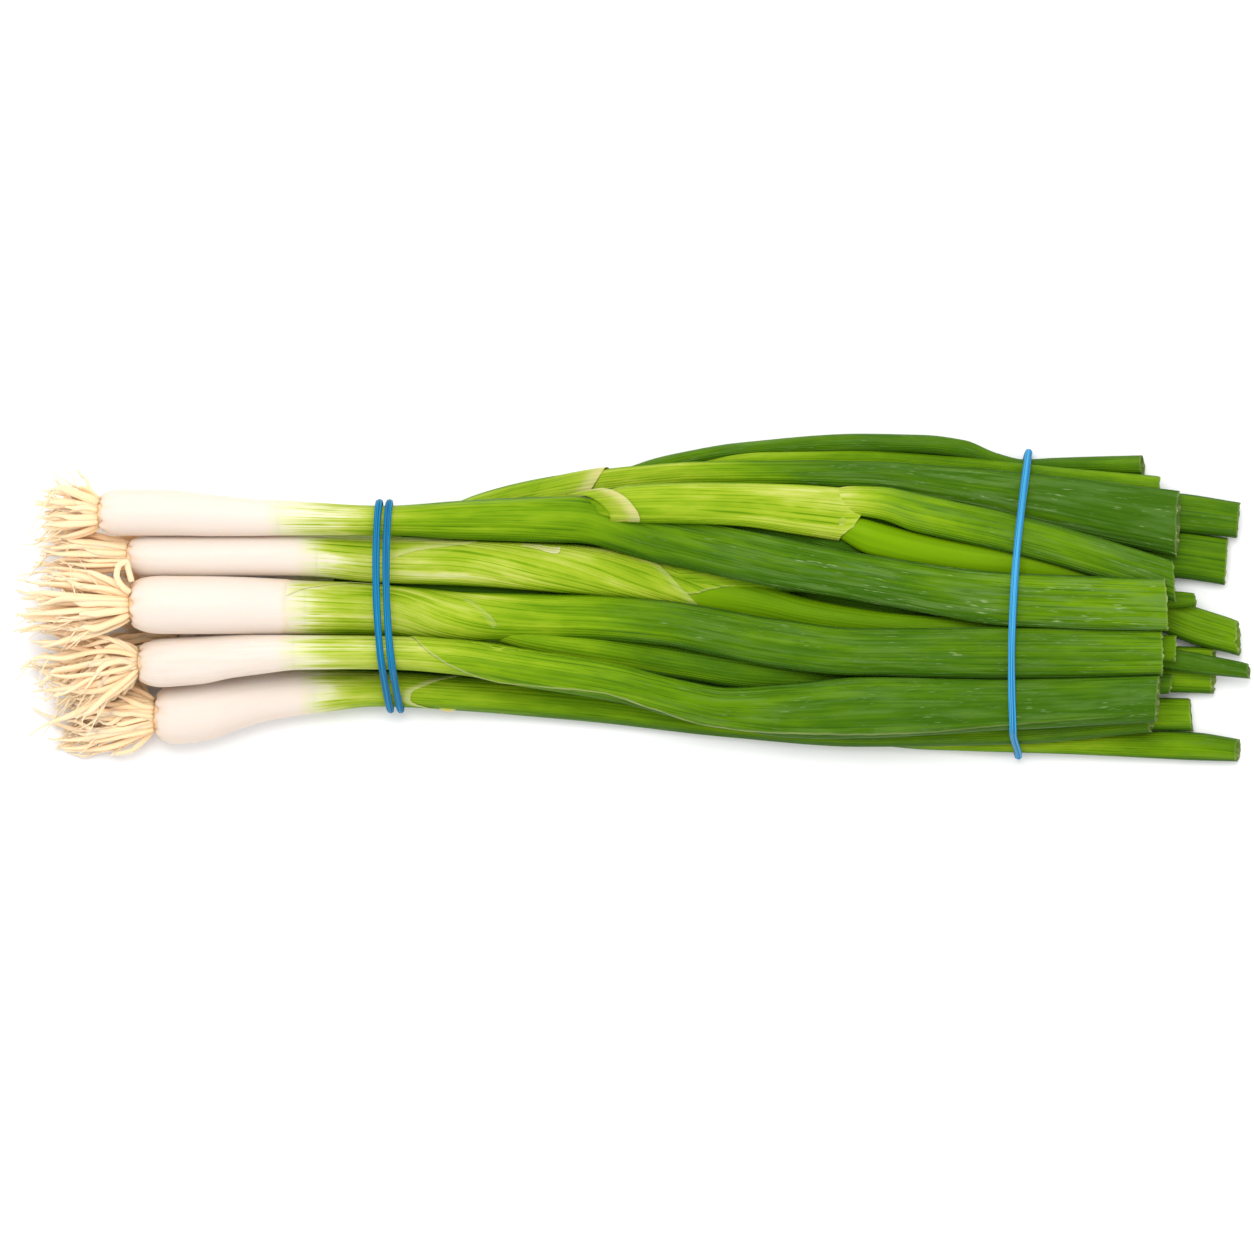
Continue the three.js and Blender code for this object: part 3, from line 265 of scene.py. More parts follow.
# Thin outer skins that end on a stalk. rim: the free edge, [x, y] seen from above, from the back to the
# front or from the root end on. away: from there to the hidden edge, along x and round the stalk. lift: how
# far it stands off the stalk at the hidden edge and at the rim. base: its tone along x. pale: how pale it
# is at the rim, over its last share `border`. dry: how brown it is there. crinkle: height of its folds.
MEMBRANES = [
    dict(
        on="sheath_1",
        rim=[[-8.5, 29.2], [-6, 28.9], [-3.3, 28.1], [-1, 26.9], [0.6, 25.6], [2.0, 24.2], [3.0, 22.6],
             [3.4, 21.0], [3.0, 19.8]], away=(-8, 0), lift=(-0.35, 0.3),
        base=[[-14, 0.46], [-7, 0.4], [-1, 0.27], [3, 0.24]], pale=0.75, border=0.55, dry=0.4),
    dict(
        on="stalk_6", rim=[[-4.6, 35.2], [-5.6, 34.3], [-8.2, 31.2], [-10.7, 28.2], [-12.4, 26.6]],
        away=(-19, 0), lift=(-0.2, 1.5), base=[[-28, 0.44], [-18, 0.36], [-5, 0.29]], pale=0.65,
        border=0.28, dry=0.35),
    dict(
        on="stalk_2", rim=[[5.6, 11.4], [8.5, 8.6], [13.4, 3.8], [15.8, 1.7], [19.7, -2.1], [21.8, -3.6]],
        away=(-12, 0), lift=(-0.15, 0.35), base=[[-8, 0.37], [8, 0.33], [22, 0.35]], pale=0.3, border=0.3,
        dry=0.0, crinkle=0.06),
    dict(
        on="stalk_2", rim=[[11.0, 3.4], [16.3, 1.6], [24, 2.6], [33.2, 3.8], [38, 4.4]], away=(0, -1.1),
        lift=(-0.3, 0.25), base=[[10, 0.38], [38, 0.44]], pale=0.3, border=0.1, dry=0.0),
    dict(
        on="stalk_2",
        rim=[[-29, 13.9], [-24, 12.9], [-20.5, 11.9], [-18.6, 11.7], [-17.8, 12.6], [-18.4, 14.0]],
        away=(0, -0.55), lift=(-0.2, 0.2), base=[[-29, 0.26], [-18, 0.12]], pale=[[-29, 0.5], [-18, 0.95]],
        border=0.85, dry=0.0),
    dict(
        on="stalk_2", rim=[[-63, 10.2], [-56, 12.4], [-48, 13.6], [-42, 14.4], [-39, 15.2]], away=(0, -0.7),
        lift=(-0.1, 0.12), base=[[-63, 0.3], [-40, 0.27]], pale=0.5, border=0.5, dry=0.0),
    dict(
        on="stalk_3", rim=[[-91, 0.1], [-85, 2.4], [-78, 3.4], [-70, 4.0], [-62, 3.4]], away=(0, -0.8),
        lift=(-0.1, 0.14), base=[[-91, 0.02], [-84, 0.2], [-78, 0.32], [-62, 0.33]], pale=0.6, border=0.12,
        dry=0.1),
    dict(
        on="stalk_3", rim=[[-43, 0.4], [-39, -2.2], [-36, -4.8], [-33.4, -8.2]], away=(-7, 0),
        lift=(-0.15, 0.1), base=[[-48, 0.34], [-33, 0.36]], pale=0.25, border=0.4, dry=0.0, crinkle=0.14),
    dict(
        on="stalk_4",
        rim=[[-58.4, -9.9], [-56.7, -10.7], [-52.6, -14.2], [-48.6, -16.8], [-40.5, -20.2], [-34.1, -21.9],
             [-24.6, -23.0], [-7, -24.9], [7, -29.2], [21, -33.4], [40, -35.5], [59, -35.9], [77, -35.4],
             [95, -33.8], [112, -32.4], [134, -30.8]], away=(0, -2.6), lift=(-0.1, 0.26),
        base=[[-58, 0.36], [-50, 0.43], [-30, 0.52], [-10, 0.58], [20, 0.72], [50, 0.8], [134, 0.87]],
        pale=[[-58, 0.4], [-46, 0.75], [-34, 0.7], [-26, 0.45], [-10, 0.55], [40, 0.5], [80, 0.3],
              [134, 0]], border=0.06, dry=0.0),
    dict(
        on="stalk_5",
        rim=[[-43.4, -20.4], [-45.6, -21.0], [-50.1, -21.9], [-54.2, -23.4], [-57.4, -25.0], [-57.8, -26.6],
             [-54.6, -28.4], [-50.0, -29.3]], away=(-6, 0), lift=(-0.25, 0.2),
        base=[[-64, 0.36], [-44, 0.27]], pale=0.7, border=0.6, dry=0.0),
    dict(
        on="stalk_5", rim=[[-50.6, -29.4], [-49.2, -30.1], [-47.2, -30.2], [-45.4, -29.7]], away=(0, -0.2),
        lift=(0.0, 0.5), base=0.3, pale=0.2, border=0.5, dry=1.0),
    dict(
        on="stalk_5", rim=[[-34.4, -30.4], [-33.2, -30.9], [-32.4, -30.6]], away=(0, -0.15),
        lift=(0.0, 0.4), base=0.3, pale=0.2, border=0.5, dry=1.0),
]

# Leaves deep inside the bunch, seen only as dark green between two others, and given the deepest green so
# that they also paint the shade of those gaps: plant, the strands behind and in front of the gap, and where
# along it they run.
INNER_LEAVES = [
    (7, "stalk_2", "stalk_3", -78, 30), (7, "stalk_1", "stalk_2", -60, 12),
    (7, "stalk_1", "stalk_2", 44, 112), (6, "sheath_1", "stalk_1", 4, 58),
    (6, "leaf_1_middle", "stalk_1", 46, 100), (6, "leaf_1_back", "leaf_1_middle", 50, 104),
    (8, "leaf_3_front", "stalk_4", -20, 60), (8, "stalk_3", "leaf_3_front", -20, 60),
    (8, "stalk_4", "stalk_5", -96, -30), (8, "stalk_3", "stalk_4", -90, -40),
]
INNER_WIDTH, INNER_DEPTH, INNER_DROP, INNER_STATIONS = 3.2, 1.2, 2.2, 24
INNER_TAPER, INNER_TIP = 8, 0.3  # they thin out over this length to this share at each end
INNER_TUCK = 0.4  # how far down its neighbours' sides one lies, as a share of their depth
# the deepest green, so that these leaves paint the shade of the gaps that they fill
INNER_LOOK = dict(tone=0.95, bloom=0, ridge=0.1)

# What the random draws of each kind start from, to which a strand's, plant's or skin's own number is added
INNER_SEED, CUT_SEED, RELIEF_SEED, SHANK_SEED, TUFT_SEED, MEMBRANE_SEED = 30, 40, 100, 300, 500, 700


# ---- small tools ----


def ease(value, start, end):
    """0 before start, 1 after end, and a smooth S between."""
    t = np.clip((value - start) / (end - start), 0, 1)
    return t * t * (3 - 2 * t)


def through(route, column=1):
    """A smooth function of x through one column of a route: a cubic between neighbouring points, whose
    slope at each is the harmonic mean of the slopes to its sides, or level where the values turn back. A
    plain number gives that number everywhere."""
    if np.ndim(route) == 0:
        return lambda at: np.full(np.shape(at), float(route))
    table = np.array(route, float)
    x, v = table[:, 0], table[:, column]
    slope = np.diff(v) / np.diff(x)
    before, after = slope[:-1], slope[1:]
    same_way = before * after > 0
    between = np.where(same_way, 2 * before * after / np.where(same_way, before + after, 1), 0)
    grade = np.concatenate([slope[:1], between, slope[-1:]])

    def value(at):
        at = np.clip(at, x[0], x[-1])
        i = np.clip(np.searchsorted(x, at) - 1, 0, len(x) - 2)
        span = x[i + 1] - x[i]
        t = (at - x[i]) / span
        rise, run, step = grade[i] * span, grade[i + 1] * span, v[i + 1] - v[i]
        return v[i] + t * (rise + t * (3 * step - 2 * rise - run + t * (rise + run - 2 * step)))

    return value


# ---- laying the strands on one another, as the solids are ----

STATION_STEP = 3
STATIONS = np.arange(-144.0, 169, STATION_STEP)
SMOOTHING = 5  # stations to each side that a height is evened out over
RISE_LENGTH, RISE_SHARE = 30, 0.8  # a leaf climbs onto its own plant over this length, to this share
JOINED_LENGTH = 12  # it is no lower than its parent along this


class Strand:
    """A stalk or a leaf: functions of x for its middle line, its half width and depth, and its looks."""

    def __init__(self, name, plant, parent, over, route, look, seed):
        self.name, self.plant, self.parent, self.over = name, plant, parent, over
        self.start, self.end = route[0][0], route[-1][0]
        self.across, self.width, self.depth = (through(route, column) for column in (1, 2, 3))
        self.girth = float(np.mean([row[2] for row in route]))
        self.seed, self.ridge = seed, look["ridge"]
        self.neck, self.dive = look.get("neck", 0), look.get("dive", (0, 0, 1))
        self.sink, self.toward = look.get("sink", 0), look.get("toward")
        self.swell = look.get("swell", (self.start, self.start + SWELL_LENGTH))
        self.tone, self.bloom = through(look["tone"]), through(look["bloom"])
        self.skin = through(look["skin"]) if "skin" in look else None
        self.young, self.twist = through(look.get("young", 0)), through(look.get("twist", 0))
        self.mouth = through(look.get("mouth", 0))


def floor_at(x):
    """The surface, raised where a band passes underneath."""
    reach = 4 * CORD_RADIUS + STATION_STEP
    over_band = [np.abs(x - band["x"] - band["lean"] / 2) < reach for band in (LEFT_BAND, RIGHT_BAND)]
    return np.where(over_band[0] | over_band[1], 2 * CORD_RADIUS - CORD_FLAT + FACE_GAP, FLOOR_CLEARANCE)


def needed_height(strand, x, laid):
    """How high a strand's middle has to be at each x to clear what is already there: two ovals touch where
    the upper one has climbed the sum of their depths times sqrt(1 - aside^2)."""
    height = floor_at(x) + strand.depth(x)
    for other in laid.values():
        own = other.plant == strand.plant
        if own and other.name not in strand.over:
            continue
        reach = strand.width(x) + other.width(x) + PLANT_GAP
        aside = (strand.across(x) - other.across(x)) / reach
        climb = (strand.depth(x) + other.depth(x) + PLANT_GAP) * np.sqrt(np.clip(1 - aside * aside, 0, 1))
        share = RISE_SHARE * ease(x, strand.start, strand.start + RISE_LENGTH) if own else 1
        there = (x >= other.start) & (x <= other.end) & (np.abs(aside) < 1)
        height = np.where(there, np.maximum(height, other.height(x) + share * climb), height)
    if strand.parent:
        joined = x < strand.start + JOINED_LENGTH
        height = np.where(joined, np.maximum(height, laid[strand.parent].height(x)), height)
    return height


def evened_out(needs):
    """A moving maximum and then a moving mean over the same window: smooth, never lower."""
    window = 2 * SMOOTHING + 1
    padded = np.pad(needs, SMOOTHING, constant_values=-np.inf)
    highest = np.lib.stride_tricks.sliding_window_view(padded, window).max(axis=1)
    ones = np.ones(window)
    return np.convolve(highest, ones, "same") / np.convolve(np.ones(len(needs)), ones, "same")


def lay_all():
    """Every strand by its name, each laid on those before it."""
    laid = {}
    for name, (plant, parent, over, route) in STRANDS.items():
        strand = Strand(name, plant, parent, over, route, LOOKS[name], len(laid) + 1)
        own = STATIONS[(STATIONS > strand.start - STATION_STEP) & (STATIONS < strand.end + STATION_STEP)]
        heights = evened_out(needed_height(strand, own, laid))
        strand.height = through(np.column_stack([own, heights]))
        laid[name] = strand
    return laid


def inner_leaf(number, plant, behind, ahead, start, end):
    """A slim leaf below the gap between two strands: halfway across it, and down beside the lower one."""
    x = np.linspace(start, end, INNER_STATIONS)
    pair = strands[behind], strands[ahead]
    y = (pair[0].across(x) - pair[0].width(x) + pair[1].across(x) + pair[1].width(x)) / 2
    lower = np.minimum(*(strand.height(x) - INNER_TUCK * strand.depth(x) for strand in pair))
    z = np.maximum(lower - INNER_DROP, INNER_DEPTH + FLOOR_CLEARANCE)
    full = ease(x, start, start + INNER_TAPER) * ease(-x, -end, INNER_TAPER - end)
    slim = INNER_TIP + (1 - INNER_TIP) * full
    route = np.stack([x, y, INNER_WIDTH * slim, INNER_DEPTH * slim], axis=1)
    leaf = Strand("inner", plant, None, (), route, INNER_LOOK, INNER_SEED + number)
    leaf.height = through(np.column_stack([x, z]))
    return leaf


strands = lay_all()

# The drawing's origin in the frame: onion 1's bulb starts at its stalk's first x, and onion 8's bulb is as
# wide to each side of its stalk's y, at its widest.
WIDEST_8 = -110
LOW_1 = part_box("onion_1_bulb")[0]
LOW_8, HIGH_8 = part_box("onion_8_bulb")
SHIFT = np.array([
    LOW_1.x - strands["stalk_1"].start * MM,
    (LOW_8.y + HIGH_8.y) / 2 - float(strands["stalk_8"].across(WIDEST_8)) * MM,
    0.0])

# ---- meshes ----


class Shells:
    """Closed grids of points that together make one piece, with values at their points."""

    def __init__(self):
        self.points, self.values, self.quads, self.triangles, self.marks = [], [], [], [], []
        self.count = 0

    def add(self, points, values, closed_along=False, sheet=False, marks=()):
        """points is (rows, sides, 3), each row a ring turning anticlockwise seen from the end. Rings are
        joined by quads, and each end is closed by a fan round its middle, or the last row joins the first.
        In a sheet each ring is flat, with its point k opposite point -1 - k, and quads between the two
        close its ends. values maps a name to an array that fits (rows, sides) or (rows, sides, 3). marks
        are rows whose edges stay sharp."""
        rows, sides = points.shape[:2]
        index = np.arange(rows * sides).reshape(rows, sides) + self.count
        index = np.concatenate([index, index[:, :1]], axis=1)
        if closed_along:
            index = np.concatenate([index, index[:1]])
        a, b, c, d = index[:-1, :-1], index[:-1, 1:], index[1:, 1:], index[1:, :-1]
        self.quads.append(np.stack([a, b, c, d], axis=-1).reshape(-1, 4))
        if sheet:
            half = sides // 2
            for row, step in ((0, -1), (-1, 1)):
                there, back = index[row, :half], index[row, half:-1][::-1]
                strip = np.stack([there[:-1], there[1:], back[1:], back[:-1]], axis=-1)
                self.quads.append(strip[:, ::step])
        mark = np.zeros((rows, sides), int)
        for row in marks:
            mark[row] = row % rows + 1 + self.count
        flat, mark = points.reshape(-1, 3), mark.ravel()
        expanded = {}
        for name, value in values.items():
            value = np.asarray(value, float)
            value = value if name == "fibre" else value[..., None]
            spread = np.broadcast_to(value, (rows, sides, value.shape[-1]))
            expanded[name] = spread.reshape(rows * sides, -1)
        for row in () if closed_along or sheet else (0, rows - 1):
            ring, hubs = index[row], np.full(sides, self.count + len(flat))
            flat = np.concatenate([flat, points[row].mean(axis=0)[None]])
            mark = np.append(mark, 0)
            for name, value in expanded.items():
                block = value[row * sides:(row + 1) * sides]
                expanded[name] = np.concatenate([value, block.mean(axis=0)[None]])
            order = (ring[1:], ring[:-1], hubs) if row == 0 else (ring[:-1], ring[1:], hubs)
            self.triangles.append(np.stack(order, axis=-1))
        self.points.append(flat)
        self.marks.append(mark)
        self.values.append(expanded)
        self.count += len(flat)

    def piece(self, name, material, slot, *nodes):
        """One mesh object in metres, riding on the bunch, that stands for the named solids."""
        mesh = bpy.data.meshes.new(name)
        points = np.concatenate(self.points) * MM + SHIFT
        quads = np.concatenate(self.quads)
        triangles = np.concatenate(self.triangles) if self.triangles else np.zeros((0, 3), int)
        corners = np.concatenate([quads.ravel(), triangles.ravel()])
        sizes = np.concatenate([np.full(len(quads), 4), np.full(len(triangles), 3)])
        mesh.vertices.add(len(points))
        mesh.vertices.foreach_set("co", points.astype(np.float32).ravel())
        mesh.loops.add(len(corners))
        mesh.loops.foreach_set("vertex_index", corners.astype(np.int32))
        mesh.polygons.add(len(sizes))
        mesh.polygons.foreach_set("loop_start", (np.cumsum(sizes) - sizes).astype(np.int32))
        mesh.polygons.foreach_set("use_smooth", np.ones(len(sizes), bool))
        mesh.update(calc_edges=True)
        marks = np.concatenate(self.marks)
        if marks.any():
            ends = np.zeros(2 * len(mesh.edges), np.int32)
            mesh.edges.foreach_get("vertices", ends)
            first, second = marks[ends[0::2]], marks[ends[1::2]]
            sharp = mesh.attributes.new("sharp_edge", "BOOLEAN", "EDGE")
            sharp.data.foreach_set("value", (first == second) & (first > 0))
        for key in self.values[0]:
            joined = np.concatenate([value[key] for value in self.values]).astype(np.float32)
            kind, field = ("FLOAT_VECTOR", "vector") if key == "fibre" else ("FLOAT", "value")
            attribute = mesh.attributes.new(key, kind, "POINT")
            attribute.data.foreach_set(field, joined.ravel())
        mesh.materials.append(material)
        made = bpy.data.objects.new(name, mesh)
        bpy.context.scene.collection.objects.link(made)
        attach(made, "root")
        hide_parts(*nodes)


# ---- the skin of a stalk or a leaf ----

RING_SPACING, SIDE_SPACING = 0.8, 0.84
OVAL_SHARE = 0.8  # an oval's outline, as a share of the outline of the box round it
LEAF_WALL = 0.32
PLUMP = 0.14  # the soft skins swell past the solids by this much, so that neighbours touch
FLAT_SHARE = 0.13  # how much squarer than an oval a flat leaf's section is
FLAT_RANGE = (1.1, 2)  # widths for each depth between which a section turns from an oval to that
LEAST_RIDGE = 0.015  # height of the ribs where the skin is white
RIBBED_TONES = (0.05, 0.6)  # they reach their full height between these tones
SWELLING = 0.13  # height of the broad soft swellings
EDGE_SHADE, EDGE_LIGHT = 0.23, 0.04  # painted shade: green is deeper at both edges; painted highlight: lighter just inside the back one
FRONT_EDGE, BACK_EDGE = (0.64, 1), (0.9, 1)  # cosines of the angle from each edge between which the painted shade deepens
INSIDE_RISE, INSIDE_FALL = (0.5, 0.9), (-1, -0.93)  # those between which the painted highlight begins and ends
EDGED_TONES = (0.2, 0.4)
FIBRE_STEP = 40  # each strand's fibres are taken this much further along, so that no two are alike

# Waves round a strand: how many crests each has, and the lengths along it in which they drift aside and
# back
RIBS = range(9, 25, 3), (110, 260)
SWELLINGS = (1, 2, 2, 3, 4, 5), (22, 60)
CREASES = range(7, 22, 3), (60, 90)
PUCKERS = (6, 8, 11), (50, 60)
SKIN_EDGE = (5, 9, 14, 21), (50, 60)
RAGS = range(5, 47, 4), (50, 60)
TEARS = (3, 5, 7, 11, 13), (50, 60)
RIM_RAGS = (1, 1, 1, 1, 1), (1.2, 9)


def even_turns(width, depth, sides):
    """Angles round an oval of that half width and depth, spaced evenly along its outline."""
    fine = np.linspace(0, 2 * np.pi, 721)
    length = np.cumsum(np.hypot(width * np.sin(fine), depth * np.cos(fine)))
    length = (length - length[0]) / (length[-1] - length[0])
    return np.interp(np.arange(sides) / sides, length, fine)


def waves(random, turn, along, counts, lengths):
    """A sum of waves round and along a tube, between about -1 and 1: each has a whole number of crests
    round it, which drift to the side along it."""
    total = np.zeros(np.broadcast(turn, along).shape)
    for count in counts:
        phase, drift = random.uniform(0, 2 * np.pi, 2)
        length = random.uniform(*lengths)
        share = random.uniform(0.5, 1)
        aside = 0.9 * np.sin(2 * np.pi * along / length + drift)
        total = total + share * np.cos(count * turn + phase + aside)
    return total / (0.75 * len(counts)) ** 0.9


def middle_of(strand, x):
    """A strand's middle line. Before its own start a leaf runs alongside the one that it grows out of."""
    y, z = strand.across(x), strand.height(x)
    if strand.parent:
        parent, before = strands[strand.parent], np.minimum(x, strand.start)
        y = y + parent.across(before) - parent.across(strand.start)
        z = z + parent.height(before) - parent.height(strand.start)
    depth, low, high = strand.dive
    return y, z - depth * (1 - ease(x, low, high))


def skin_relief(strand, x, turn):
    """How far a strand's skin stands out at each x and turn: fine ribs along its fibres and broad
    swellings."""
    random = np.random.default_rng(RELIEF_SEED + strand.seed)
    ridge = strand.ridge * ease(strand.tone(x), *RIBBED_TONES) + LEAST_RIDGE
    fluted = ridge * waves(random, turn - strand.twist(x), x, *RIBS)
    return PLUMP + fluted + SWELLING * waves(random, turn, x, *SWELLINGS)


def skin_points(strand, x, turn, share=1.0, inset=0.0, relief=0.0):
    """Points on a strand: at each x an oval, slightly squarer where it is flat, with the relief added along
    the oval's own normal."""
    width = (strand.width(x) - inset) * share
    depth = (strand.depth(x) - inset) * share
    flat = 1 - FLAT_SHARE * ease(width / depth, *FLAT_RANGE)
    c, s = np.cos(turn), np.sin(turn)
    y = width * np.sign(c) * np.abs(c) ** flat
    z = depth * np.sign(s) * np.abs(s) ** flat
    ny, nz = c / width, s / depth
    norm = np.hypot(ny, nz)
    middle_y, middle_z = middle_of(strand, x)
    return np.stack([
        np.broadcast_to(x, y.shape),
        middle_y + y + relief * ny / norm,
        middle_z + z + relief * nz / norm], axis=-1)


def skin_values(strand, x, turn):
    """What the material reads at each point of a strand. Fibre is a place on a round rod whose turns follow
    the twist, and which lies at its own stretch of x for each strand."""
    fibre_turn, tone, to_back = turn - strand.twist(x), strand.tone(x), np.cos(turn)
    rod = strand.girth * np.cos(fibre_turn), strand.girth * np.sin(fibre_turn), x + FIBRE_STEP * strand.seed
    # painted shade at both edges of a green strand, and a painted highlight just inside its back edge, are
    # added to its tone
    edges = ease(-to_back, *FRONT_EDGE) + ease(to_back, *BACK_EDGE)
    inside = ease(to_back, *INSIDE_RISE) * ease(-to_back, *INSIDE_FALL)
    shaded = (EDGE_SHADE * edges - EDGE_LIGHT * inside) * ease(tone, *EDGED_TONES)
    return dict(
        fibre=np.stack(rod, axis=-1), tone=tone + shaded, bloom=strand.bloom(x), young=strand.young(x),
        pale=np.zeros_like(x), dry=np.zeros_like(x))


def turns_of(strand, x_from, x_to):
    """The angles of the points round a strand between two x."""
    middle = np.linspace(x_from, x_to, 40)
    width, depth = strand.width(middle), strand.depth(middle)
    outline = 4 * (np.max(width) + np.max(depth)) * OVAL_SHARE
    return even_turns(np.mean(width), np.mean(depth), int(outline / SIDE_SPACING) // 4 * 4)[None, :]


END_RINGS, END_CROWDING = 14, 1.7  # rings in a bulb's rounded end, which crowd towards the roots
PUCKER_LENGTH, PUCKER_DEPTH = 3.0, 0.16  # how far creases run from the root end, and half their depth
SCALLOP = 0.6  # how far the puckers of a bulb's root end reach along it
PRESS, PRESS_RANGE = 0.75, (104, 113)  # a bulb that leans on the next one bulges towards it, by the roots
SKIN_STEP, SKIN_BEVEL, SKIN_RAGGED = 0.16, 0.3, 0.3  # how far its outer skin stands out, and the edge of that
SIDE_TAN, CREASE_TAN, END_TAN, EDGE_TAN = 0.22, 0.5, 0.3, 0.3  # painted shade along a bulb's two sides and in the creases of its root end, and the tan of that root end and of its outer skin's edge


def add_shank(shells, strand, end):
    """The white part of a stalk, drawn in and puckered at its root end: its size there is the root end's
    share and the rest of it times sqrt(1 - left^2), where left falls from 1 to 0."""
    turn = turns_of(strand, strand.start, end)
    near = strand.start + ROOT_END_ROUND * np.linspace(0, 1, END_RINGS) ** END_CROWDING
    rest = np.linspace(strand.start + ROOT_END_ROUND, end, int(2 * (end - strand.start) / RING_SPACING))[1:]
    x = np.concatenate([near, rest])[:, None] + np.zeros(turn.shape)
    left = 1 - np.clip((x - strand.start) / ROOT_END_ROUND, 0, 1)
    share = ROOT_END_SHARE + (1 - ROOT_END_SHARE) * np.sqrt(1 - left * left)
    random = np.random.default_rng(SHANK_SEED + strand.seed)
    creases = waves(random, turn, x, *CREASES)
    pucker = np.exp(-(x - strand.start) / PUCKER_LENGTH)
    x = x - SCALLOP * left ** 2 * waves(random, turn, 0 * turn, *PUCKERS)
    relief = skin_relief(strand, x, turn) - PUCKER_DEPTH * (1 - creases) * pucker
    if strand.toward is not None:
        relief = relief + PRESS * ease(np.cos(turn - strand.toward), 0.2, 1) * ease(-x, *PRESS_RANGE)
    values = skin_values(strand, x, turn)
    # painted shade: a warm tan along the bulb's two sides and in the creases of its root end, where shade
    # falls; the tan of its root end and of its outer skin's edge is its own
    along_sides = ease(np.abs(np.cos(turn)), 0.55, 1.0) * SIDE_TAN
    dry = along_sides + CREASE_TAN * pucker * ease(-creases, -0.3, 1.2) + END_TAN * pucker ** 2
    if strand.skin is not None:
        edge = strand.skin(turn) + SKIN_RAGGED * waves(random, turn, 0 * turn, *SKIN_EDGE)
        relief = relief + SKIN_STEP * ease(edge - x, -SKIN_BEVEL, SKIN_BEVEL)
        dry = dry + EDGE_TAN * np.exp(-((x - edge) / 0.6) ** 2)
    values["dry"] = np.clip(dry, 0, 1)
    shells.add(skin_points(strand, x, turn, share, 0, relief), values, marks=(0, -1))


FINE_RIM, FINE_RINGS = 2.4, 9  # the last stretch of a cut leaf, which has closer rings
MOUTH_LENGTH = 22  # a sheath's mouth draws out over this length
SINK_LENGTH, SINK_REACH = 6, (3.5, 6)  # its tip thins over this length, where it reaches this far
CUT_LENGTH = 3  # a cut end is ragged over this length
RAG_DEPTH, RAG_MOST, RAG_BACK = 0.46, 0.9, 0.35
TEAR_DEPTH, TEAR_RANGE = 1.1, (0.75, 1.4)  # where the waves rise between these, the end is torn
SLANT, SLANT_ACROSS, SLANT_DOWN = 0.6, 0.8, 1.6  # how strongly a cut slants: in all, aside and in height
RIM_WIDTH, RIM_PALE, RAG_PALE = (0.6, 0.1), 0.12, 0.75  # the pale edge of a cut, and how pale it is


def cut_end(turn, random):
    """How far a cut edge reaches past its ring, which is a slant and rags with a few deeper tears, and how
    pale it is there."""
    jag = waves(random, turn, 0 * turn, *RAGS)
    tears = ease(waves(random, turn, 0 * turn, *TEARS), *TEAR_RANGE)
    across = random.uniform(-SLANT_ACROSS, SLANT_ACROSS) * np.cos(turn)
    slant = across + random.uniform(-SLANT_DOWN, SLANT_DOWN) * np.sin(turn)
    reach = RAG_DEPTH * np.minimum(jag, RAG_MOST) - RAG_BACK + SLANT * slant - TEAR_DEPTH * tears
    return reach, RIM_PALE + RAG_PALE * ease(jag, -0.2, 0.9)


def add_green(shells, strand, start, random):
    """A green tube from start to the strand's end, cut across, ragged and open there. One that comes out of
    a sheath is slim until it does."""
    end, mouth = strand.end, strand.mouth
    turn = turns_of(strand, start, end)
    middle = np.concatenate([
        np.linspace(start, end - FINE_RIM, int((end - start) / RING_SPACING) + 2)[:-1],
        np.linspace(end - FINE_RIM, end, FINE_RINGS)])[:, None]
    x = middle + mouth(turn) * ease(middle, end - MOUTH_LENGTH, end)
    share = 1 - strand.sink * ease(mouth(turn), *SINK_REACH) * ease(middle, end - SINK_LENGTH, end)
    if strand.parent:
        share = share * (SWELL_SHARE + (1 - SWELL_SHARE) * ease(x, *strand.swell))
    relief = skin_relief(strand, x, turn)
    values = skin_values(strand, x, turn)
    grid = skin_points(strand, x, turn, share, 0, relief)
    reach, pale = cut_end(turn, random)
    grid[..., 0] += ease(middle, end - CUT_LENGTH, end) * reach
    values["pale"] = ease(middle, end - RIM_WIDTH[0], end - RIM_WIDTH[1]) * pale + 0 * x
    if strand.sink:
        values["pale"] = values["pale"] * ease(-mouth(turn), -5.6, -3.5)
    rim = x[-1:]
    inner = skin_points(strand, rim, turn, share[-1:], LEAF_WALL, relief[-1:])
    inner[..., 0] = grid[-1:, :, 0]
    deep = skin_points(strand, np.full_like(rim, end - CUT_DEPTH), turn, share[-1:], LEAF_WALL, relief[-1:])
    for name, value in values.items():
        tail = np.concatenate([value[-1:], value[-1:]])
        if name == "pale":
            tail[1] = 0
        values[name] = np.concatenate([value, tail])
    shells.add(np.concatenate([grid, inner, deep]), values, marks=(0,))


RIM_SPACING, RIM_TORN = 0.35, 0.12  # points along a thin skin's free edge, and how ragged it is
ROW_SPACING, ROW_LEAST, ROW_CROWDING = 0.4, 8, 0.7  # rows from hidden edge to rim, which crowd to the rim
FOLDS, FOLD_BEND, FOLD_LENGTH = 14, 3, 3.1  # folds across it, which wave along it
STEEPEST = 0.985  # the cosine of the angle that a rim stops at, before a strand's very edge
RIM_HOLD = 2.5  # it lies down over this length at each end of its edge
OUTER_FACE, INNER_FACE, TUCKED = 0.08, -0.04, -0.15  # heights of its two faces, and of its ends


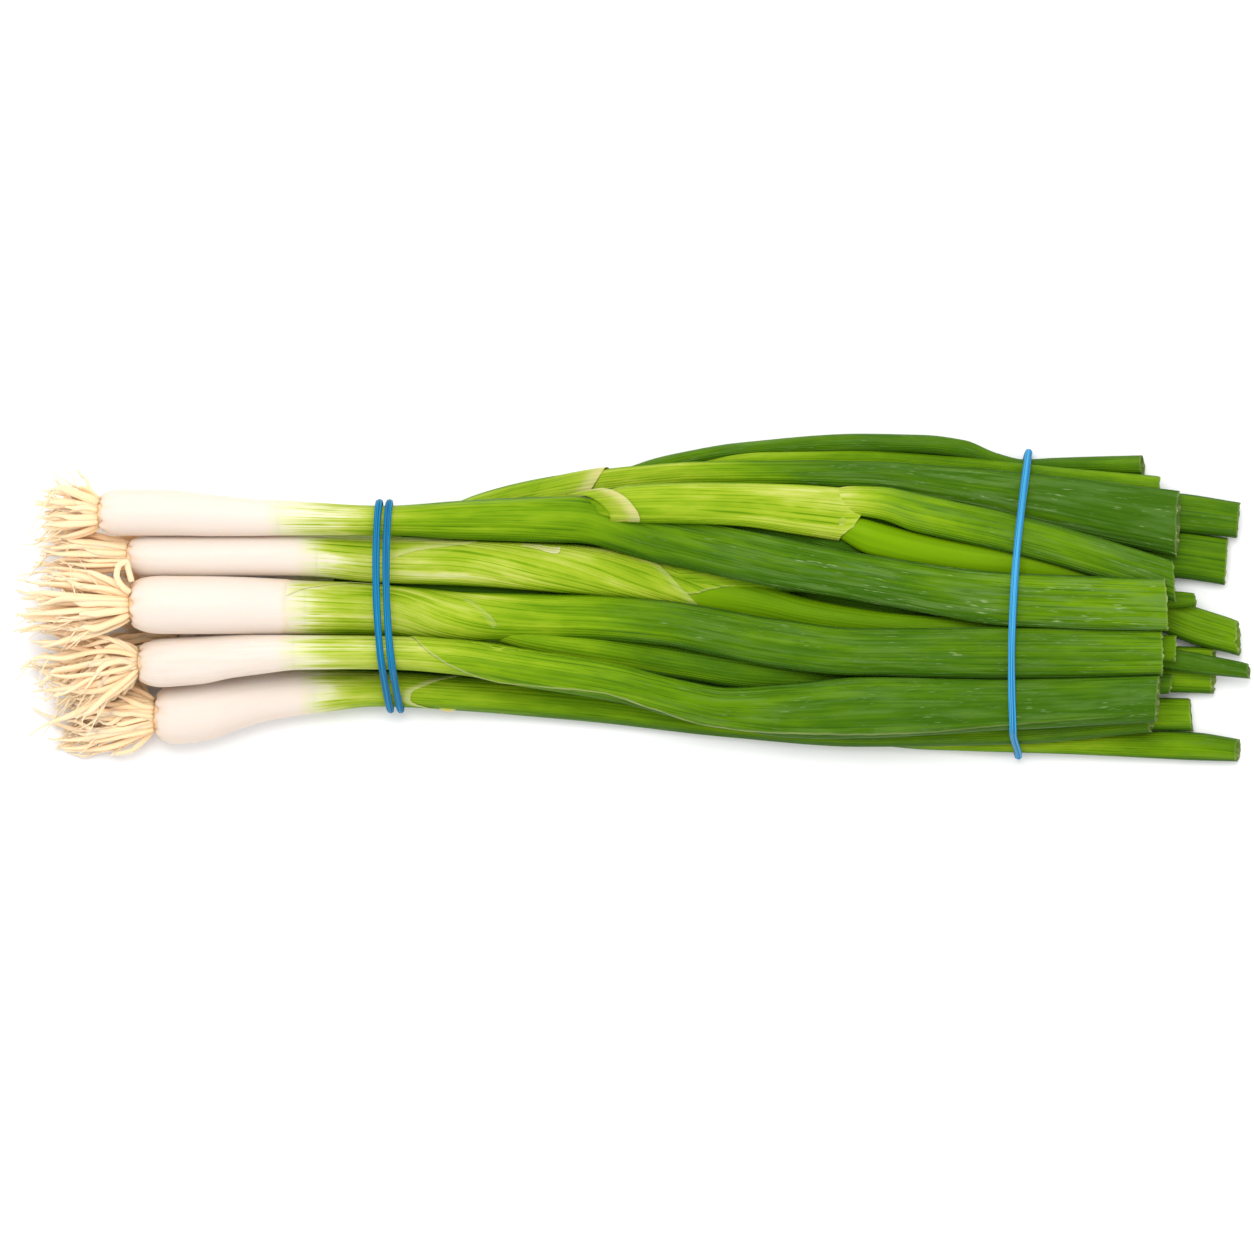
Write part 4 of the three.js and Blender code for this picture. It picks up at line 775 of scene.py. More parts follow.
def add_membrane(shells, number, on, rim, away, lift, base, pale, border, dry, crinkle=0.0):
    """A thin skin over a strand, from a hidden edge to its free rim. The rim is a curve seen from above: at
    a place (x, y) the strand's own angle is arccos((y - across) / width)."""
    strand = strands[on]
    random = np.random.default_rng(MEMBRANE_SEED + number)
    curve = np.array(rim, float)
    length = np.concatenate([[0], np.cumsum(np.hypot(*np.diff(curve, axis=0).T))])
    along = np.linspace(0, length[-1], int(length[-1] / RIM_SPACING) + 2)
    soft = [through(np.column_stack([length, curve[:, k]]))(along) for k in (0, 1)]
    ragged = RIM_TORN * waves(random, 0 * along, along, *RIM_RAGS)
    rim_x, rim_y = soft[0] + ragged * (away[1] == 0), soft[1] + ragged * (away[0] == 0)
    rim_turn = np.arccos(np.clip((rim_y - strand.across(rim_x)) / strand.width(rim_x), -STEEPEST, STEEPEST))
    reach = max(abs(away[0]), abs(away[1]) * float(np.mean(strand.depth(rim_x))))
    u = np.linspace(0, 1, int(reach / ROW_SPACING) + ROW_LEAST)[:, None] ** ROW_CROWDING
    x = rim_x[None, :] + away[0] * (1 - u)
    turn = rim_turn[None, :] + away[1] * (1 - u)
    if away[1]:
        x, turn, along = x[:, ::-1], turn[:, ::-1], along[::-1]
    fold = np.sin(FOLDS * u + FOLD_BEND * np.sin(along / FOLD_LENGTH)[None, :])
    fold = crinkle * fold * ease(u, 0.3, 0.8)
    held = ease(along, 0, RIM_HOLD) * ease(-along, -length[-1], RIM_HOLD - length[-1])
    rise = (lift[0] + (lift[1] - lift[0]) * ease(u, 0, 1) + fold - TUCKED) * held[None, :] + TUCKED
    relief = skin_relief(strand, x, turn)
    edge = through(pale)(x) * ease(u, 1 - border, 1 - 0.25 * border)
    values = skin_values(strand, x, turn)
    brown = dry * ease(u, 1 - 2 * border, 1) + 0 * x
    values.update(tone=through(base)(x), young=0 * x, pale=edge, dry=brown)
    outer = skin_points(strand, x, turn, 1, 0, relief + rise + OUTER_FACE)
    inner = skin_points(strand, x, turn, 1, 0, relief + rise + INNER_FACE)
    for name, value in values.items():
        values[name] = np.concatenate([value, value[:, ::-1]], axis=1)
    shells.add(np.concatenate([outer, inner[:, ::-1]], axis=1), values, sheet=True)


# ---- roots ----

ROOT_STEPS, ROOT_SIDES, HAIR_STEPS = 34, 8, 14
ROOT_LOWEST = 0.05  # no root reaches below this height
LENGTHS, SIZES, FLATNESSES = (0.42, 1), (0.8, 1.3), (0.45, 0.75)  # ranges that a root's own are drawn from
HAIR_RUN, HAIR_SIZE = (2.5, 7.5), (0.16, 0.34)
# For each plant: how many roots, the longest, their spread to each side, how far they lean to the side for
# each millimetre they run, droop, how strongly they curl, their half width, and how far they cross one
# another.
TUFTS = {
    1: dict(count=40, longest=17, spread=7, lean=0.03, droop=0.3, curl=0.8),
    2: dict(count=40, longest=27, spread=4, lean=0.05, droop=0.2, curl=0.9),
    3: dict(count=72, longest=33, spread=11, lean=-0.02, droop=0.22, curl=1.1, size=0.92),
    4: dict(count=84, longest=31, spread=15, lean=-0.13, droop=0.34, curl=2.1, size=0.8, tangle=1.1),
    5: dict(count=80, longest=28, spread=11, lean=-0.03, droop=0.36, curl=2.1, size=0.8, tangle=1.1),
    6: dict(count=34, longest=15, spread=5, lean=0, droop=0.25, curl=1),
    7: dict(count=34, longest=15, spread=5, lean=0, droop=0.25, curl=1),
    8: dict(count=44, longest=24, spread=8, lean=-0.1, droop=0.3, curl=1),
}
USUAL_SIZE, USUAL_TANGLE = 1, 0.4
# How a root wanders, as sums of size * a * sin(rate * t + phase * b), where a and b are two of its own
# draws: each row is size, which draw a is, rate, phase, which draw b is, and whether it comes late along
# the root.
WANDER_ASIDE = [(1.6, 0, 2.6, 3, 1, False), (0.9, 2, 7, 4, 3, True), (0.3, 6, 13, 4, 7, True)]
WANDER_UP = [(0.8, 4, 3, 3, 5, False), (0.6, 1, 7, 5, 2, True)]
# Single roots that stray: plant, where it ends in plan, how far it bows to the side, and its half width.
STRAYS = [
    (1, (-147, 34.4), 1.0, 0.5), (1, (-155, 15.4), 2.5, 0.5), (3, (-163.4, 2.2), -1.2, 0.6),
    (3, (-161, -2.8), 2.0, 0.5), (4, (-159, -29.4), -7.0, 0.6), (4, (-152, -24.6), 3.0, 0.5),
    (5, (-149, -41.4), -3.0, 0.5), (5, (-138, -42.0), 1.2, 0.5),
    (2, (-159, 8.4), 1.6, 0.5), (2, (-156, 13.6), -1.0, 0.5), (3, (-155, 5.6), 2.2, 0.5),
    (4, (-135, -25.4), -1.5, 0.9), (4, (-138, -27.0), -1.0, 0.9), (4, (-133.5, -23.6), -1.2, 0.8),
    (5, (-131, -22.4), 1.6, 0.9), (5, (-134, -23.6), 1.8, 0.9), (5, (-137, -25.4), 1.4, 0.9),
]
FAR_STRAY = -140  # one that ends beyond this comes down to FAR_HEIGHT
FAR_HEIGHT = 1.2
# A root that turns back on itself above the tuft of one onion, as points to pass through
HAIRPIN_PLANT, HAIRPIN_RADIUS = 3, 0.85
HAIRPIN = [[-131.2, 1.6, 27.4], [-133.2, 3.2, 28.4], [-134.6, 6.0, 28.4], [-134.0, 8.7, 27.6],
           [-132.2, 9.6, 27.0], [-131.6, 7.4, 26.6], [-130.8, 4.4, 26.2]]
BOX_MARGIN, BOX_SOFTNESS = 0.9, 3.0  # roots keep this far inside the solids' box, and give way over this


def add_roots(shells, path, radius, flatness, ref, start_age):
    """Tapering ribbons along paths (roots, steps, 3), one oval ring at each step. Each ring lies across the
    path's own direction, and is flatter one way."""
    tangent = np.gradient(path, axis=1)
    tangent /= np.linalg.norm(tangent, axis=2, keepdims=True)
    side = np.cross(tangent, ref[:, None, :])
    side /= np.linalg.norm(side, axis=2, keepdims=True)
    up = np.cross(side, tangent)
    turn = np.arange(ROOT_SIDES) / ROOT_SIDES * 2 * np.pi
    rings = (path[:, :, None, :]
             + (radius[:, :, None] * np.cos(turn))[..., None] * side[:, :, None, :]
             + (radius[:, :, None] * flatness[:, None, None] * np.sin(turn))[..., None] * up[:, :, None, :])
    rings[..., 2] = np.maximum(rings[..., 2], ROOT_LOWEST)
    age = np.linspace(0, 1, path.shape[1])[:, None]
    for k in range(len(path)):
        shade = start_age[k] + (1 - start_age[k]) * age
        fibre = np.stack(np.broadcast_arrays(np.cos(turn), np.sin(turn) + 3 * k, 20 * age), axis=-1)
        shells.add(rings[k][:, ::-1], dict(fibre=fibre[:, ::-1], age=shade))


def held_in(path):
    """Root points kept a little inside the solids' box, pressed back softly: past the start of the soft
    zone, a distance d becomes soft * (1 - exp(-d / soft))."""
    low = (np.array(SOLID_BOX[0]) - SHIFT) / MM + BOX_MARGIN
    high = (np.array(SOLID_BOX[1]) - SHIFT) / MM - BOX_MARGIN
    soft = BOX_SOFTNESS
    over = np.maximum(low + soft - path, 0)
    path = path + over - soft * (1 - np.exp(-over / soft)) * (over > 0)
    over = np.maximum(path - high + soft, 0)
    return path - over + soft * (1 - np.exp(-over / soft)) * (over > 0)


def add_plate(shells, face, centre_y, centre_z, radius):
    """The basal plate that the roots grow from: a low dome with a wavy outline."""
    turn = np.linspace(0, 2 * np.pi, 24, endpoint=False)[None, :]
    p = np.linspace(0, 1, 7)[:, None]
    dome = 0.92 * radius * np.sqrt(np.clip(1 - (1 - p) ** 2 * 0.8, 0.05, 1)) * (1 + 0.08 * np.cos(7 * turn))
    x = face + 1.2 - (PLATE_DEPTH + 0.6) * (1 - p)
    plate = np.stack(np.broadcast_arrays(
        x, centre_y + dome * np.cos(turn), centre_z + dome * np.sin(turn)), axis=-1)
    shells.add(plate, dict(fibre=plate, age=np.zeros(plate.shape[:2])))


def tuft_paths(look, face, centre_y, centre_z, radius, random):
    """The middle lines of a tuft's roots and their half widths. They start in a sunflower's spiral over the
    plate, fan out, droop and wander, and taper to their tips."""
    count, curl = look["count"], look["curl"]
    t = np.linspace(0, 1, ROOT_STEPS)[None, :]
    i = np.arange(count)
    # place on the plate
    out = np.sqrt((i + 0.5) / count)
    phi = i * np.pi * (3 - np.sqrt(5))
    length = look["longest"] * random.uniform(*LENGTHS, count)
    length = length * (1 - 0.2 * out * random.uniform(0, 1, count))
    wave = random.uniform(-1, 1, (8, count))[..., None]
    cy, cz = (out * np.cos(phi))[:, None], (out * np.sin(phi))[:, None]
    # run, fan and wander
    reach = length[:, None] * t
    fan = t ** 0.85 * (1 - 0.25 * t)
    late = ease(t, 0.3, 1)
    aside, rise = (
        curl * sum(size * wave[a] * np.sin(rate * t + phase * wave[b]) * (late if comes_late else t)
                   for size, a, rate, phase, b, comes_late in rows)
        for rows in (WANDER_ASIDE, WANDER_UP))
    # the more they tangle, the less their side follows their place on the plate
    tangle = look.get("tangle", USUAL_TANGLE)
    sideways = (1 - 0.45 * tangle) * cy + 0.75 * tangle * wave[5] * np.cos(2.5 * tangle * t * wave[7])
    y = centre_y + 0.9 * radius * cy + look["spread"] * sideways * fan + look["lean"] * reach + aside
    z = centre_z + 0.9 * radius * cz + 0.4 * look["spread"] * cz * fan - look["droop"] * reach * t + rise
    shuffle = 0.5 * curl * wave[3] * np.sin(8 * t) * late
    x = face - 0.3 * PLATE_DEPTH - reach * (1 - 0.08 * wave[0] * t) + shuffle
    # thickness
    size = look.get("size", USUAL_SIZE) * random.uniform(*SIZES, count)[:, None]
    thin_from = 0.72 + 0.1 * wave[6]
    taper = size * (1 - 0.12 * t) * (1 - 0.72 * ease(t, thin_from - 0.1, thin_from + 0.3))
    taper = taper * (0.85 + 0.15 * ease(t, 0, 0.1)) * (1 + 0.05 * np.sin(9 * t + 6 * wave[1]))
    z = np.maximum(z, 0.6 * taper + FLOOR_CLEARANCE + 0.4 * (1 + wave[3]))
    return held_in(np.stack([x, y, z], axis=-1)), taper


def add_wisps(shells, path, ref, random):
    """Thin side hairs, which leave a root in its outer half and curl."""
    hairs = int(1.1 * len(path))
    t = np.linspace(0, 1, HAIR_STEPS)[None, :]
    chosen = random.integers(0, len(path), hairs)
    step = random.integers(ROOT_STEPS // 2, ROOT_STEPS - 2, hairs)
    base = path[chosen, step]
    ahead = path[chosen, step + 1] - path[chosen, step - 1]
    ahead /= np.linalg.norm(ahead, axis=1, keepdims=True)
    heading = ahead + random.normal(0, 0.5, (hairs, 3)) * [0.3, 1, 0.3]
    run = random.uniform(*HAIR_RUN, hairs)[:, None] * t
    bend = random.normal(0, 1.6, (hairs, 3)) * [0.5, 1, 0.4]
    hair = base[:, None] + heading[:, None] * run[..., None] + bend[:, None] * (t ** 2)[..., None]
    hair[..., 2] = np.maximum(hair[..., 2], FLOOR_CLEARANCE + 0.3)
    radius = random.uniform(*HAIR_SIZE, hairs)[:, None] * (1 - 0.7 * t)
    add_roots(shells, held_in(hair), radius, np.full(hairs, 0.6), ref[chosen], np.full(hairs, 0.75))


def add_stray(shells, begin, finish, bow, half, ref):
    """One long root from begin to finish that bows to the side and thins to its tip."""
    t = np.linspace(0, 1, ROOT_STEPS)
    line = begin + (finish - begin) * t[:, None]
    line[:, 1] += bow * np.sin(np.pi * t) + 0.4 * np.sin(13 * t)
    add_roots(shells, line[None], half * (1 - 0.55 * t[None] ** 2), np.array([0.7]), ref, np.array([0.3]))


def add_hairpin(shells, ref):
    """The root that turns back on itself: a smooth curve through its points."""
    knots = np.array(HAIRPIN)
    at = np.arange(len(knots))
    places = np.linspace(0, 1, ROOT_STEPS) * at[-1]
    curve = np.stack([through(np.column_stack([at, knots[:, k]]))(places) for k in range(3)], axis=-1)
    thickness = np.full((1, ROOT_STEPS), HAIRPIN_RADIUS)
    add_roots(shells, curve[None], thickness, np.array([0.8]), ref + [0.3, 0, 0], np.array([0.1]))


def root_tuft(plant):
    """One onion's basal plate, its roots with their side hairs, and those that stray or turn back."""
    stalk, look = strands["stalk_%d" % plant], TUFTS[plant]
    random = np.random.default_rng(TUFT_SEED + plant)
    shells = Shells()
    face = stalk.start - FACE_GAP
    centre_y, centre_z = float(stalk.across(stalk.start)), float(stalk.height(stalk.start))
    radius = float(stalk.width(stalk.start)) * ROOT_END_SHARE * PLATE_SHARE
    add_plate(shells, face, centre_y, centre_z, radius)
    path, thickness = tuft_paths(look, face, centre_y, centre_z, radius, random)
    count = look["count"]
    ref = np.stack([np.zeros(count), random.normal(0, 0.5, count), np.ones(count)], axis=-1)
    add_roots(shells, path, thickness, random.uniform(*FLATNESSES, count), ref, np.zeros(count))
    add_wisps(shells, path, ref, random)
    for end, bow, half in [stray[1:] for stray in STRAYS if stray[0] == plant]:
        begin = np.array([face - 1, centre_y + 0.5 * radius * np.sign(end[1] - centre_y), centre_z * 0.8])
        finish = np.array([*end, FAR_HEIGHT if end[0] < FAR_STRAY else 0.6 * centre_z])
        add_stray(shells, begin, finish, bow, half, ref[:1])
    if plant == HAIRPIN_PLANT:
        add_hairpin(shells, ref[:1])
    return shells


# ---- elastic bands ----

CONTOUR_DIRECTIONS = 720
BAND_SIDES = 28
BAND_THIN, BAND_SUNK = 0.8, 0.3  # a stretched cord is flatter than it is wide, and sinks into the stalks
BAND_SHARE = 0.9  # its middle radius, as a share of the cord's
RIDGE, RIDGE_TWIST = 0.05, 30  # height of the ridges along it, and how slowly they wind round it
LEFT_PLACES, LEFT_STATIONS = 260, (-2.5, -0.5, 1.5, 3.5, 5.5)
RIGHT_PLACES, RIGHT_STATIONS = 420, (-1, 1, 3, 5, 6.5)


def contour(xs, start, count):
    """The taut line round all strands near the stations xs, as y, z and the direction it faces: in each
    direction the furthest point of any strand's oval, moved out by the cord's radius and a small gap."""
    angle = start + np.arange(CONTOUR_DIRECTIONS + 1) / CONTOUR_DIRECTIONS * 2 * np.pi
    c, s = np.cos(angle), np.sin(angle)
    best = np.full(angle.shape, -np.inf)
    y, z = np.zeros_like(angle), np.zeros_like(angle)
    for x in xs:
        for strand in strands.values():
            if not strand.start <= x <= strand.end:
                continue
            a, b = strand.width(x), strand.depth(x)
            reach = np.hypot(a * c, b * s)
            support = strand.across(x) * c + strand.height(x) * s + reach
            wins = support > best
            best = np.where(wins, support, best)
            y = np.where(wins, strand.across(x) + a * a * c / reach + (CORD_RADIUS + FACE_GAP) * c, y)
            z = np.where(wins, strand.height(x) + b * b * s / reach + (CORD_RADIUS + FACE_GAP) * s, z)
    length = np.concatenate([[0], np.cumsum(np.hypot(np.diff(y), np.diff(z)) + 0.1)])
    want = np.arange(count) / count * length[-1]
    y, z, angle = (np.interp(want, length, value) for value in (y, z, angle))
    target = CORD_RADIUS - CORD_FLAT
    return y, z.max() - (z.max() - z) * (z.max() - target) / (z.max() - z.min()), angle


def evened_round(values, reach):
    """A closed list of numbers, each taken as the mean of its neighbours up to reach away."""
    window = np.ones(2 * reach + 1) / (2 * reach + 1)
    return np.convolve(np.pad(values, reach, mode="wrap"), window, "valid")


def band(name, x, y, z, angle, material, slot, ridge_count):
    """A closed cord: a ring of points across the line at each place, with ridges that run along it, pressed
    flat where it would reach below the surface."""
    place = np.stack([x, y, z], axis=-1)
    tangent = np.roll(place, -1, axis=0) - np.roll(place, 1, axis=0)
    tangent /= np.linalg.norm(tangent, axis=1, keepdims=True)
    outward = np.stack([np.zeros_like(angle), np.cos(angle), np.sin(angle)], axis=-1)
    normal = outward - tangent * (outward * tangent).sum(axis=1, keepdims=True)
    normal /= np.linalg.norm(normal, axis=1, keepdims=True)
    side = np.cross(tangent, normal)
    turn = np.arange(BAND_SIDES)[None, :] / BAND_SIDES * 2 * np.pi
    along = np.concatenate([[0], np.cumsum(np.linalg.norm(np.diff(place, axis=0), axis=1))])[:, None]
    wobble = 0.02 * np.sin(along / 2.3 + 2 * turn) + 0.03 * np.sin(along / 5.1 + 1.3)
    ridges = RIDGE * np.cos(ridge_count * turn + along / RIDGE_TWIST)
    radius = CORD_RADIUS * (BAND_SHARE + wobble + ridges)
    rings = (place[:, None] + (radius * BAND_THIN * np.cos(turn) - BAND_SUNK)[..., None] * normal[:, None]
             + (radius * np.sin(turn))[..., None] * side[:, None])
    rings[..., 2] = np.maximum(rings[..., 2], 0)
    shells = Shells()
    fibre = np.stack(np.broadcast_arrays(np.cos(turn), np.sin(turn), along), axis=-1)
    shells.add(rings, dict(fibre=fibre), closed_along=True)
    shells.piece(name + "_cord", material, slot, name)


def band_x(band, y):
    """Where a band lies along the bunch at each y: it leans with the square of the distance from its
    middle."""
    return band["x"] + band["lean"] * ((y - band["y"]) / band["span"]) ** 2


def left_band(material):
    """Two turns side by side, which swap sides where the one climbs over the other."""
    stations = [LEFT_BAND["x"] + dx for dx in LEFT_STATIONS]
    y, z, angle = (np.tile(value, 2) for value in contour(stations, CROSSING_ANGLE, LEFT_PLACES))
    turns = np.arange(2 * LEFT_PLACES) / LEFT_PLACES
    steps = [ease(turns, middle - CROSSING_HALF, middle + CROSSING_HALF) for middle in range(3)]
    side = steps[0] - steps[1] + steps[2]
    lift = CROSSING_LIFT * (1 - ease(np.abs(turns - 1) / CROSSING_HALF, *CROSSING_RAMP))
    x = band_x(LEFT_BAND, y) + TURN_OFFSET * (2 * side - 1)
    y, z = y + lift * np.cos(angle), z + lift * np.sin(angle)
    band("band_left", x, y, z, angle, material, "band_deep_blue", 7)


def right_band(material):
    """One turn, with its front end bent along the bunch."""
    y, z, angle = contour([RIGHT_BAND["x"] + dx for dx in RIGHT_STATIONS], np.pi, RIGHT_PLACES)
    y, z = evened_round(y, 3), evened_round(z, 3)
    x = band_x(RIGHT_BAND, y) + HOOK_REACH * ease(-y, HOOK_START, HOOK_END)
    band("band_right", x, y, z, angle, material, "band_sky_blue", 6)


# ---- materials ----


def node(tree, kind, inputs=None, **settings):
    """A shader node with its settings, and its inputs either linked or set."""
    made = tree.nodes.new(kind)
    for key, value in settings.items():
        setattr(made, key, value)
    for key, value in (inputs or {}).items():
        if isinstance(value, bpy.types.NodeSocket):
            tree.links.new(value, made.inputs[key])
        else:
            made.inputs[key].default_value = value
    return made


def maths(tree, operation, *values):
    """One sum on its values, each a socket or a number."""
    return node(tree, "ShaderNodeMath", dict(enumerate(values)), operation=operation).outputs[0]


def mixed(tree, factor, a, b):
    """Colour a where the factor is 0 and b where it is 1."""
    return node(tree, "ShaderNodeMix", {0: factor, 6: a, 7: b}, data_type="RGBA").outputs[2]


def ranged(tree, value, low, high, to_low=0.0, to_high=1.0):
    """The value eased from one range to another."""
    made = node(tree, "ShaderNodeMapRange", {0: value, 1: low, 2: high, 3: to_low, 4: to_high},
                interpolation_type="SMOOTHSTEP")
    return made.outputs[0]


def ramp(tree, value, stops):
    """A colour for each value, from a list of (value, colour)."""
    made = node(tree, "ShaderNodeValToRGB", {0: value})
    elements = made.color_ramp.elements
    while len(elements) < len(stops):
        elements.new(0.5)
    for element, (place, colour) in zip(elements, stops):
        element.position = place
        element.color = (*colour, 1)
    return made.outputs[0]


def noise(tree, vector, scale, detail, roughness=0.5):
    return node(tree, "ShaderNodeTexNoise", {
        "Vector": vector, "Scale": scale, "Detail": detail, "Roughness": roughness}).outputs["Fac"]


def bump(tree, height, distance, strength):
    """A normal for relief of that many millimetres."""
    return node(tree, "ShaderNodeBump", {
        "Height": height, "Distance": distance * MM, "Strength": strength}).outputs[0]


def attribute(tree, name, output="Fac"):
    return node(tree, "ShaderNodeAttribute", attribute_name=name).outputs[output]


def group(name, inputs, outputs):
    """A new shader node group with its sockets, given as name and kind, and its input and output nodes."""
    tree = bpy.data.node_groups.new(name, "ShaderNodeTree")
    for in_out, sockets in (("INPUT", inputs), ("OUTPUT", outputs)):
        for label, kind in sockets.items():
            tree.interface.new_socket(label, in_out=in_out, socket_type="NodeSocket" + kind)
    return tree, tree.nodes.new("NodeGroupInput").outputs, tree.nodes.new("NodeGroupOutput").inputs


def streak_group():
    """Noise drawn out along the fibres: Wide is its grain round the piece and Long its grain along it, in
    mm."""
    inputs = dict(Fibre="Vector", Wide="Float", Long="Float", Detail="Float")
    tree, given, out = group("fibre_streaks", inputs, dict(Value="Float"))
    parts = node(tree, "ShaderNodeSeparateXYZ", {0: given["Fibre"]}).outputs
    grains = (given["Wide"], given["Wide"], given["Long"])
    scaled = [maths(tree, "DIVIDE", part, grain) for part, grain in zip(parts, grains)]
    vector = node(tree, "ShaderNodeCombineXYZ", dict(enumerate(scaled))).outputs[0]
    tree.links.new(noise(tree, vector, 1.0, given["Detail"], 0.55), out["Value"])
    return tree


STREAKS = streak_group()


def streaks(tree, fibre, wide, long, detail):
    inputs = dict(Fibre=fibre, Wide=wide, Long=long, Detail=detail)
    return node(tree, "ShaderNodeGroup", inputs, node_tree=STREAKS).outputs["Value"]


# The colour of a spring onion's skin at each tone
PLANT_TONES = [
    (0.00, (0.68, 0.594, 0.527)),
    (0.10, (0.60, 0.60, 0.34)),
    (0.22, (0.42, 0.47, 0.085)),
    (0.34, (0.275, 0.375, 0.018)),
    (0.48, (0.165, 0.285, 0.005)),
    (0.62, (0.098, 0.205, 0.002)),
    (0.78, (0.052, 0.132, 0.002)),
    (0.92, (0.030, 0.092, 0.003)),
]
YOUNG_DARK, YOUNG_LIGHT = (0.085, 0.19, 0.0006, 1), (0.16, 0.30, 0.001, 1)
WAX = (0.112, 0.2, 0.052, 1)
# pale flecks of the waxy bloom, which also serve as painted glints of gloss
FLECK = (0.33, 0.43, 0.20, 1)
MEMBRANE_CREAM = (0.50, 0.50, 0.25, 1)
# the tan of dry skin, which also paints the shade on a bulb's sides and in its creases
DRY_TAN = (0.74, 0.46, 0.22, 1)
VEINS = 30.0  # round a stalk or a leaf
VEIN_DRIFT = 16.0  # radians that they wander aside
# Streaks by their grain round the strand and along it, in mm, and their detail
GRAINS = dict(
    fine=(0.22, 60, 1.0), broad=(1.5, 90, 1.0), drift=(2.5, 60, 1.0), mottle=(2.6, 13, 3.0),
    blotch=(3.2, 34, 1.0), wax=(1.1, 16, 4.0), fleck=(0.4, 4.0, 2.0), patch=(2.5, 10, 3.0))
# How far the streaks move the tone: of green skin that isn't young, of all green skin, and where the white
# turns green
VEIN_OLD, FINE_OLD, BROAD_OLD, BLOTCH_OLD = 0.2, 0.14, 0.2, 0.26
BROAD_ALL, MOTTLE_ALL = 0.06, 0.3
BROAD_TURNING, VEIN_TURNING = 0.24, 0.09
WAX_COVER, FLECK_COVER = 0.62, 0.75  # how much of the colour under them wax and flecks hide; the flecks are partly the bloom's own pale flecks and partly painted glints of gloss


def plant_group():
    """Colour, roughness and height of a spring onion's skin from its tone (which carries painted shade and a
    painted highlight at a leaf's edges), bloom, youth, pale edges and dry skin (whose tan also paints the
    shade on a bulb's sides and in its creases)."""
    inputs = dict(Fibre="Vector", **dict.fromkeys(("Tone", "Bloom", "Young", "Pale", "Dry"), "Float"))
    tree, given, out = group("plant_skin", inputs, dict(Color="Color", Roughness="Float", Height="Float"))
    tone, bloom = given["Tone"], given["Bloom"]

    def times(*values):
        product = values[0]
        for value in values[1:]:
            product = maths(tree, "MULTIPLY", product, value)
        return product

    def plus(*values):
        total = values[0]
        for value in values[1:]:
            total = maths(tree, "ADD", total, value)
        return total

    def swing(value):
        return maths(tree, "SUBTRACT", value, 0.5)

    fine, broad, drift, mottle, blotch, wax, fleck, patch = (
        streaks(tree, given["Fibre"], *grain) for grain in GRAINS.values())
    old = maths(tree, "SUBTRACT", 1.0, given["Young"])
    green = ranged(tree, tone, 0.03, 0.2)
    place = node(tree, "ShaderNodeSeparateXYZ", {0: given["Fibre"]}).outputs
    angle = maths(tree, "ARCTAN2", place[1], place[0])
    veins = maths(tree, "SINE", plus(times(angle, VEINS), times(swing(drift), VEIN_DRIFT)))
    vein_line = times(
        ranged(tree, veins, 0.1, 0.95), ranged(tree, fine, 0.36, 0.66), ranged(tree, mottle, 0.3, 0.6))
    # where the white turns green, the streaks reach further into one another
    turning = times(ranged(tree, tone, 0.0, 0.08), ranged(tree, tone, 0.34, 0.14))
    shaded = plus(
        tone,
        times(vein_line, green, old, VEIN_OLD),
        times(swing(fine), green, old, FINE_OLD),
        times(swing(broad), green, plus(times(old, BROAD_OLD), BROAD_ALL)),
        times(swing(mottle), green, MOTTLE_ALL),
        times(swing(blotch), green, old, BLOTCH_OLD),
        times(swing(broad), turning, BROAD_TURNING),
        times(vein_line, turning, VEIN_TURNING))
    colour = ramp(tree, maths(tree, "MAXIMUM", shaded, 0.0), PLANT_TONES)
    fresh = mixed(tree, given["Young"], colour, mixed(tree, broad, YOUNG_DARK, YOUNG_LIGHT))
    wax_amount = times(ranged(tree, wax, 0.44, 0.66), bloom, WAX_COVER)
    waxed = mixed(tree, wax_amount, fresh, WAX)
    # pale flecks, partly the bloom's own and partly painted glints of gloss
    flecks = times(ranged(tree, fleck, 0.6, 0.74), ranged(tree, mottle, 0.42, 0.62))
    fleck_amount = times(flecks, bloom, FLECK_COVER)
    flecked = mixed(tree, fleck_amount, waxed, FLECK)
    pale_amount = times(given["Pale"], plus(0.7, times(swing(fine), 1.6)))
    paled = mixed(tree, pale_amount, flecked, MEMBRANE_CREAM)
    dry_amount = times(given["Dry"], plus(0.55, times(swing(patch), 2.4)))
    tree.links.new(mixed(tree, dry_amount, paled, DRY_TAN), out["Color"])
    rough = plus(ranged(tree, mottle, 0.3, 0.7, 0.38, 0.48), times(wax_amount, 0.2))
    tree.links.new(rough, out["Roughness"])
    height = plus(times(veins, green, old, -0.26), times(broad, 0.9), times(fine, old, 0.5))
    tree.links.new(height, out["Height"])
    return tree


PLANT_SKIN = plant_group()


def new_material(name):
    """An empty material and its node tree."""
    made = bpy.data.materials.new(name)
    made.use_nodes = True
    made.node_tree.nodes.clear()
    return made, made.node_tree


def principled(tree, **inputs):
    """A Principled shader on a material's surface, with inputs named as its sockets are."""
    named = {key.replace("_", " "): value for key, value in inputs.items()}
    shader = node(tree, "ShaderNodeBsdfPrincipled", named)
    out = tree.nodes.new("ShaderNodeOutputMaterial")
    tree.links.new(shader.outputs[0], out.inputs["Surface"])


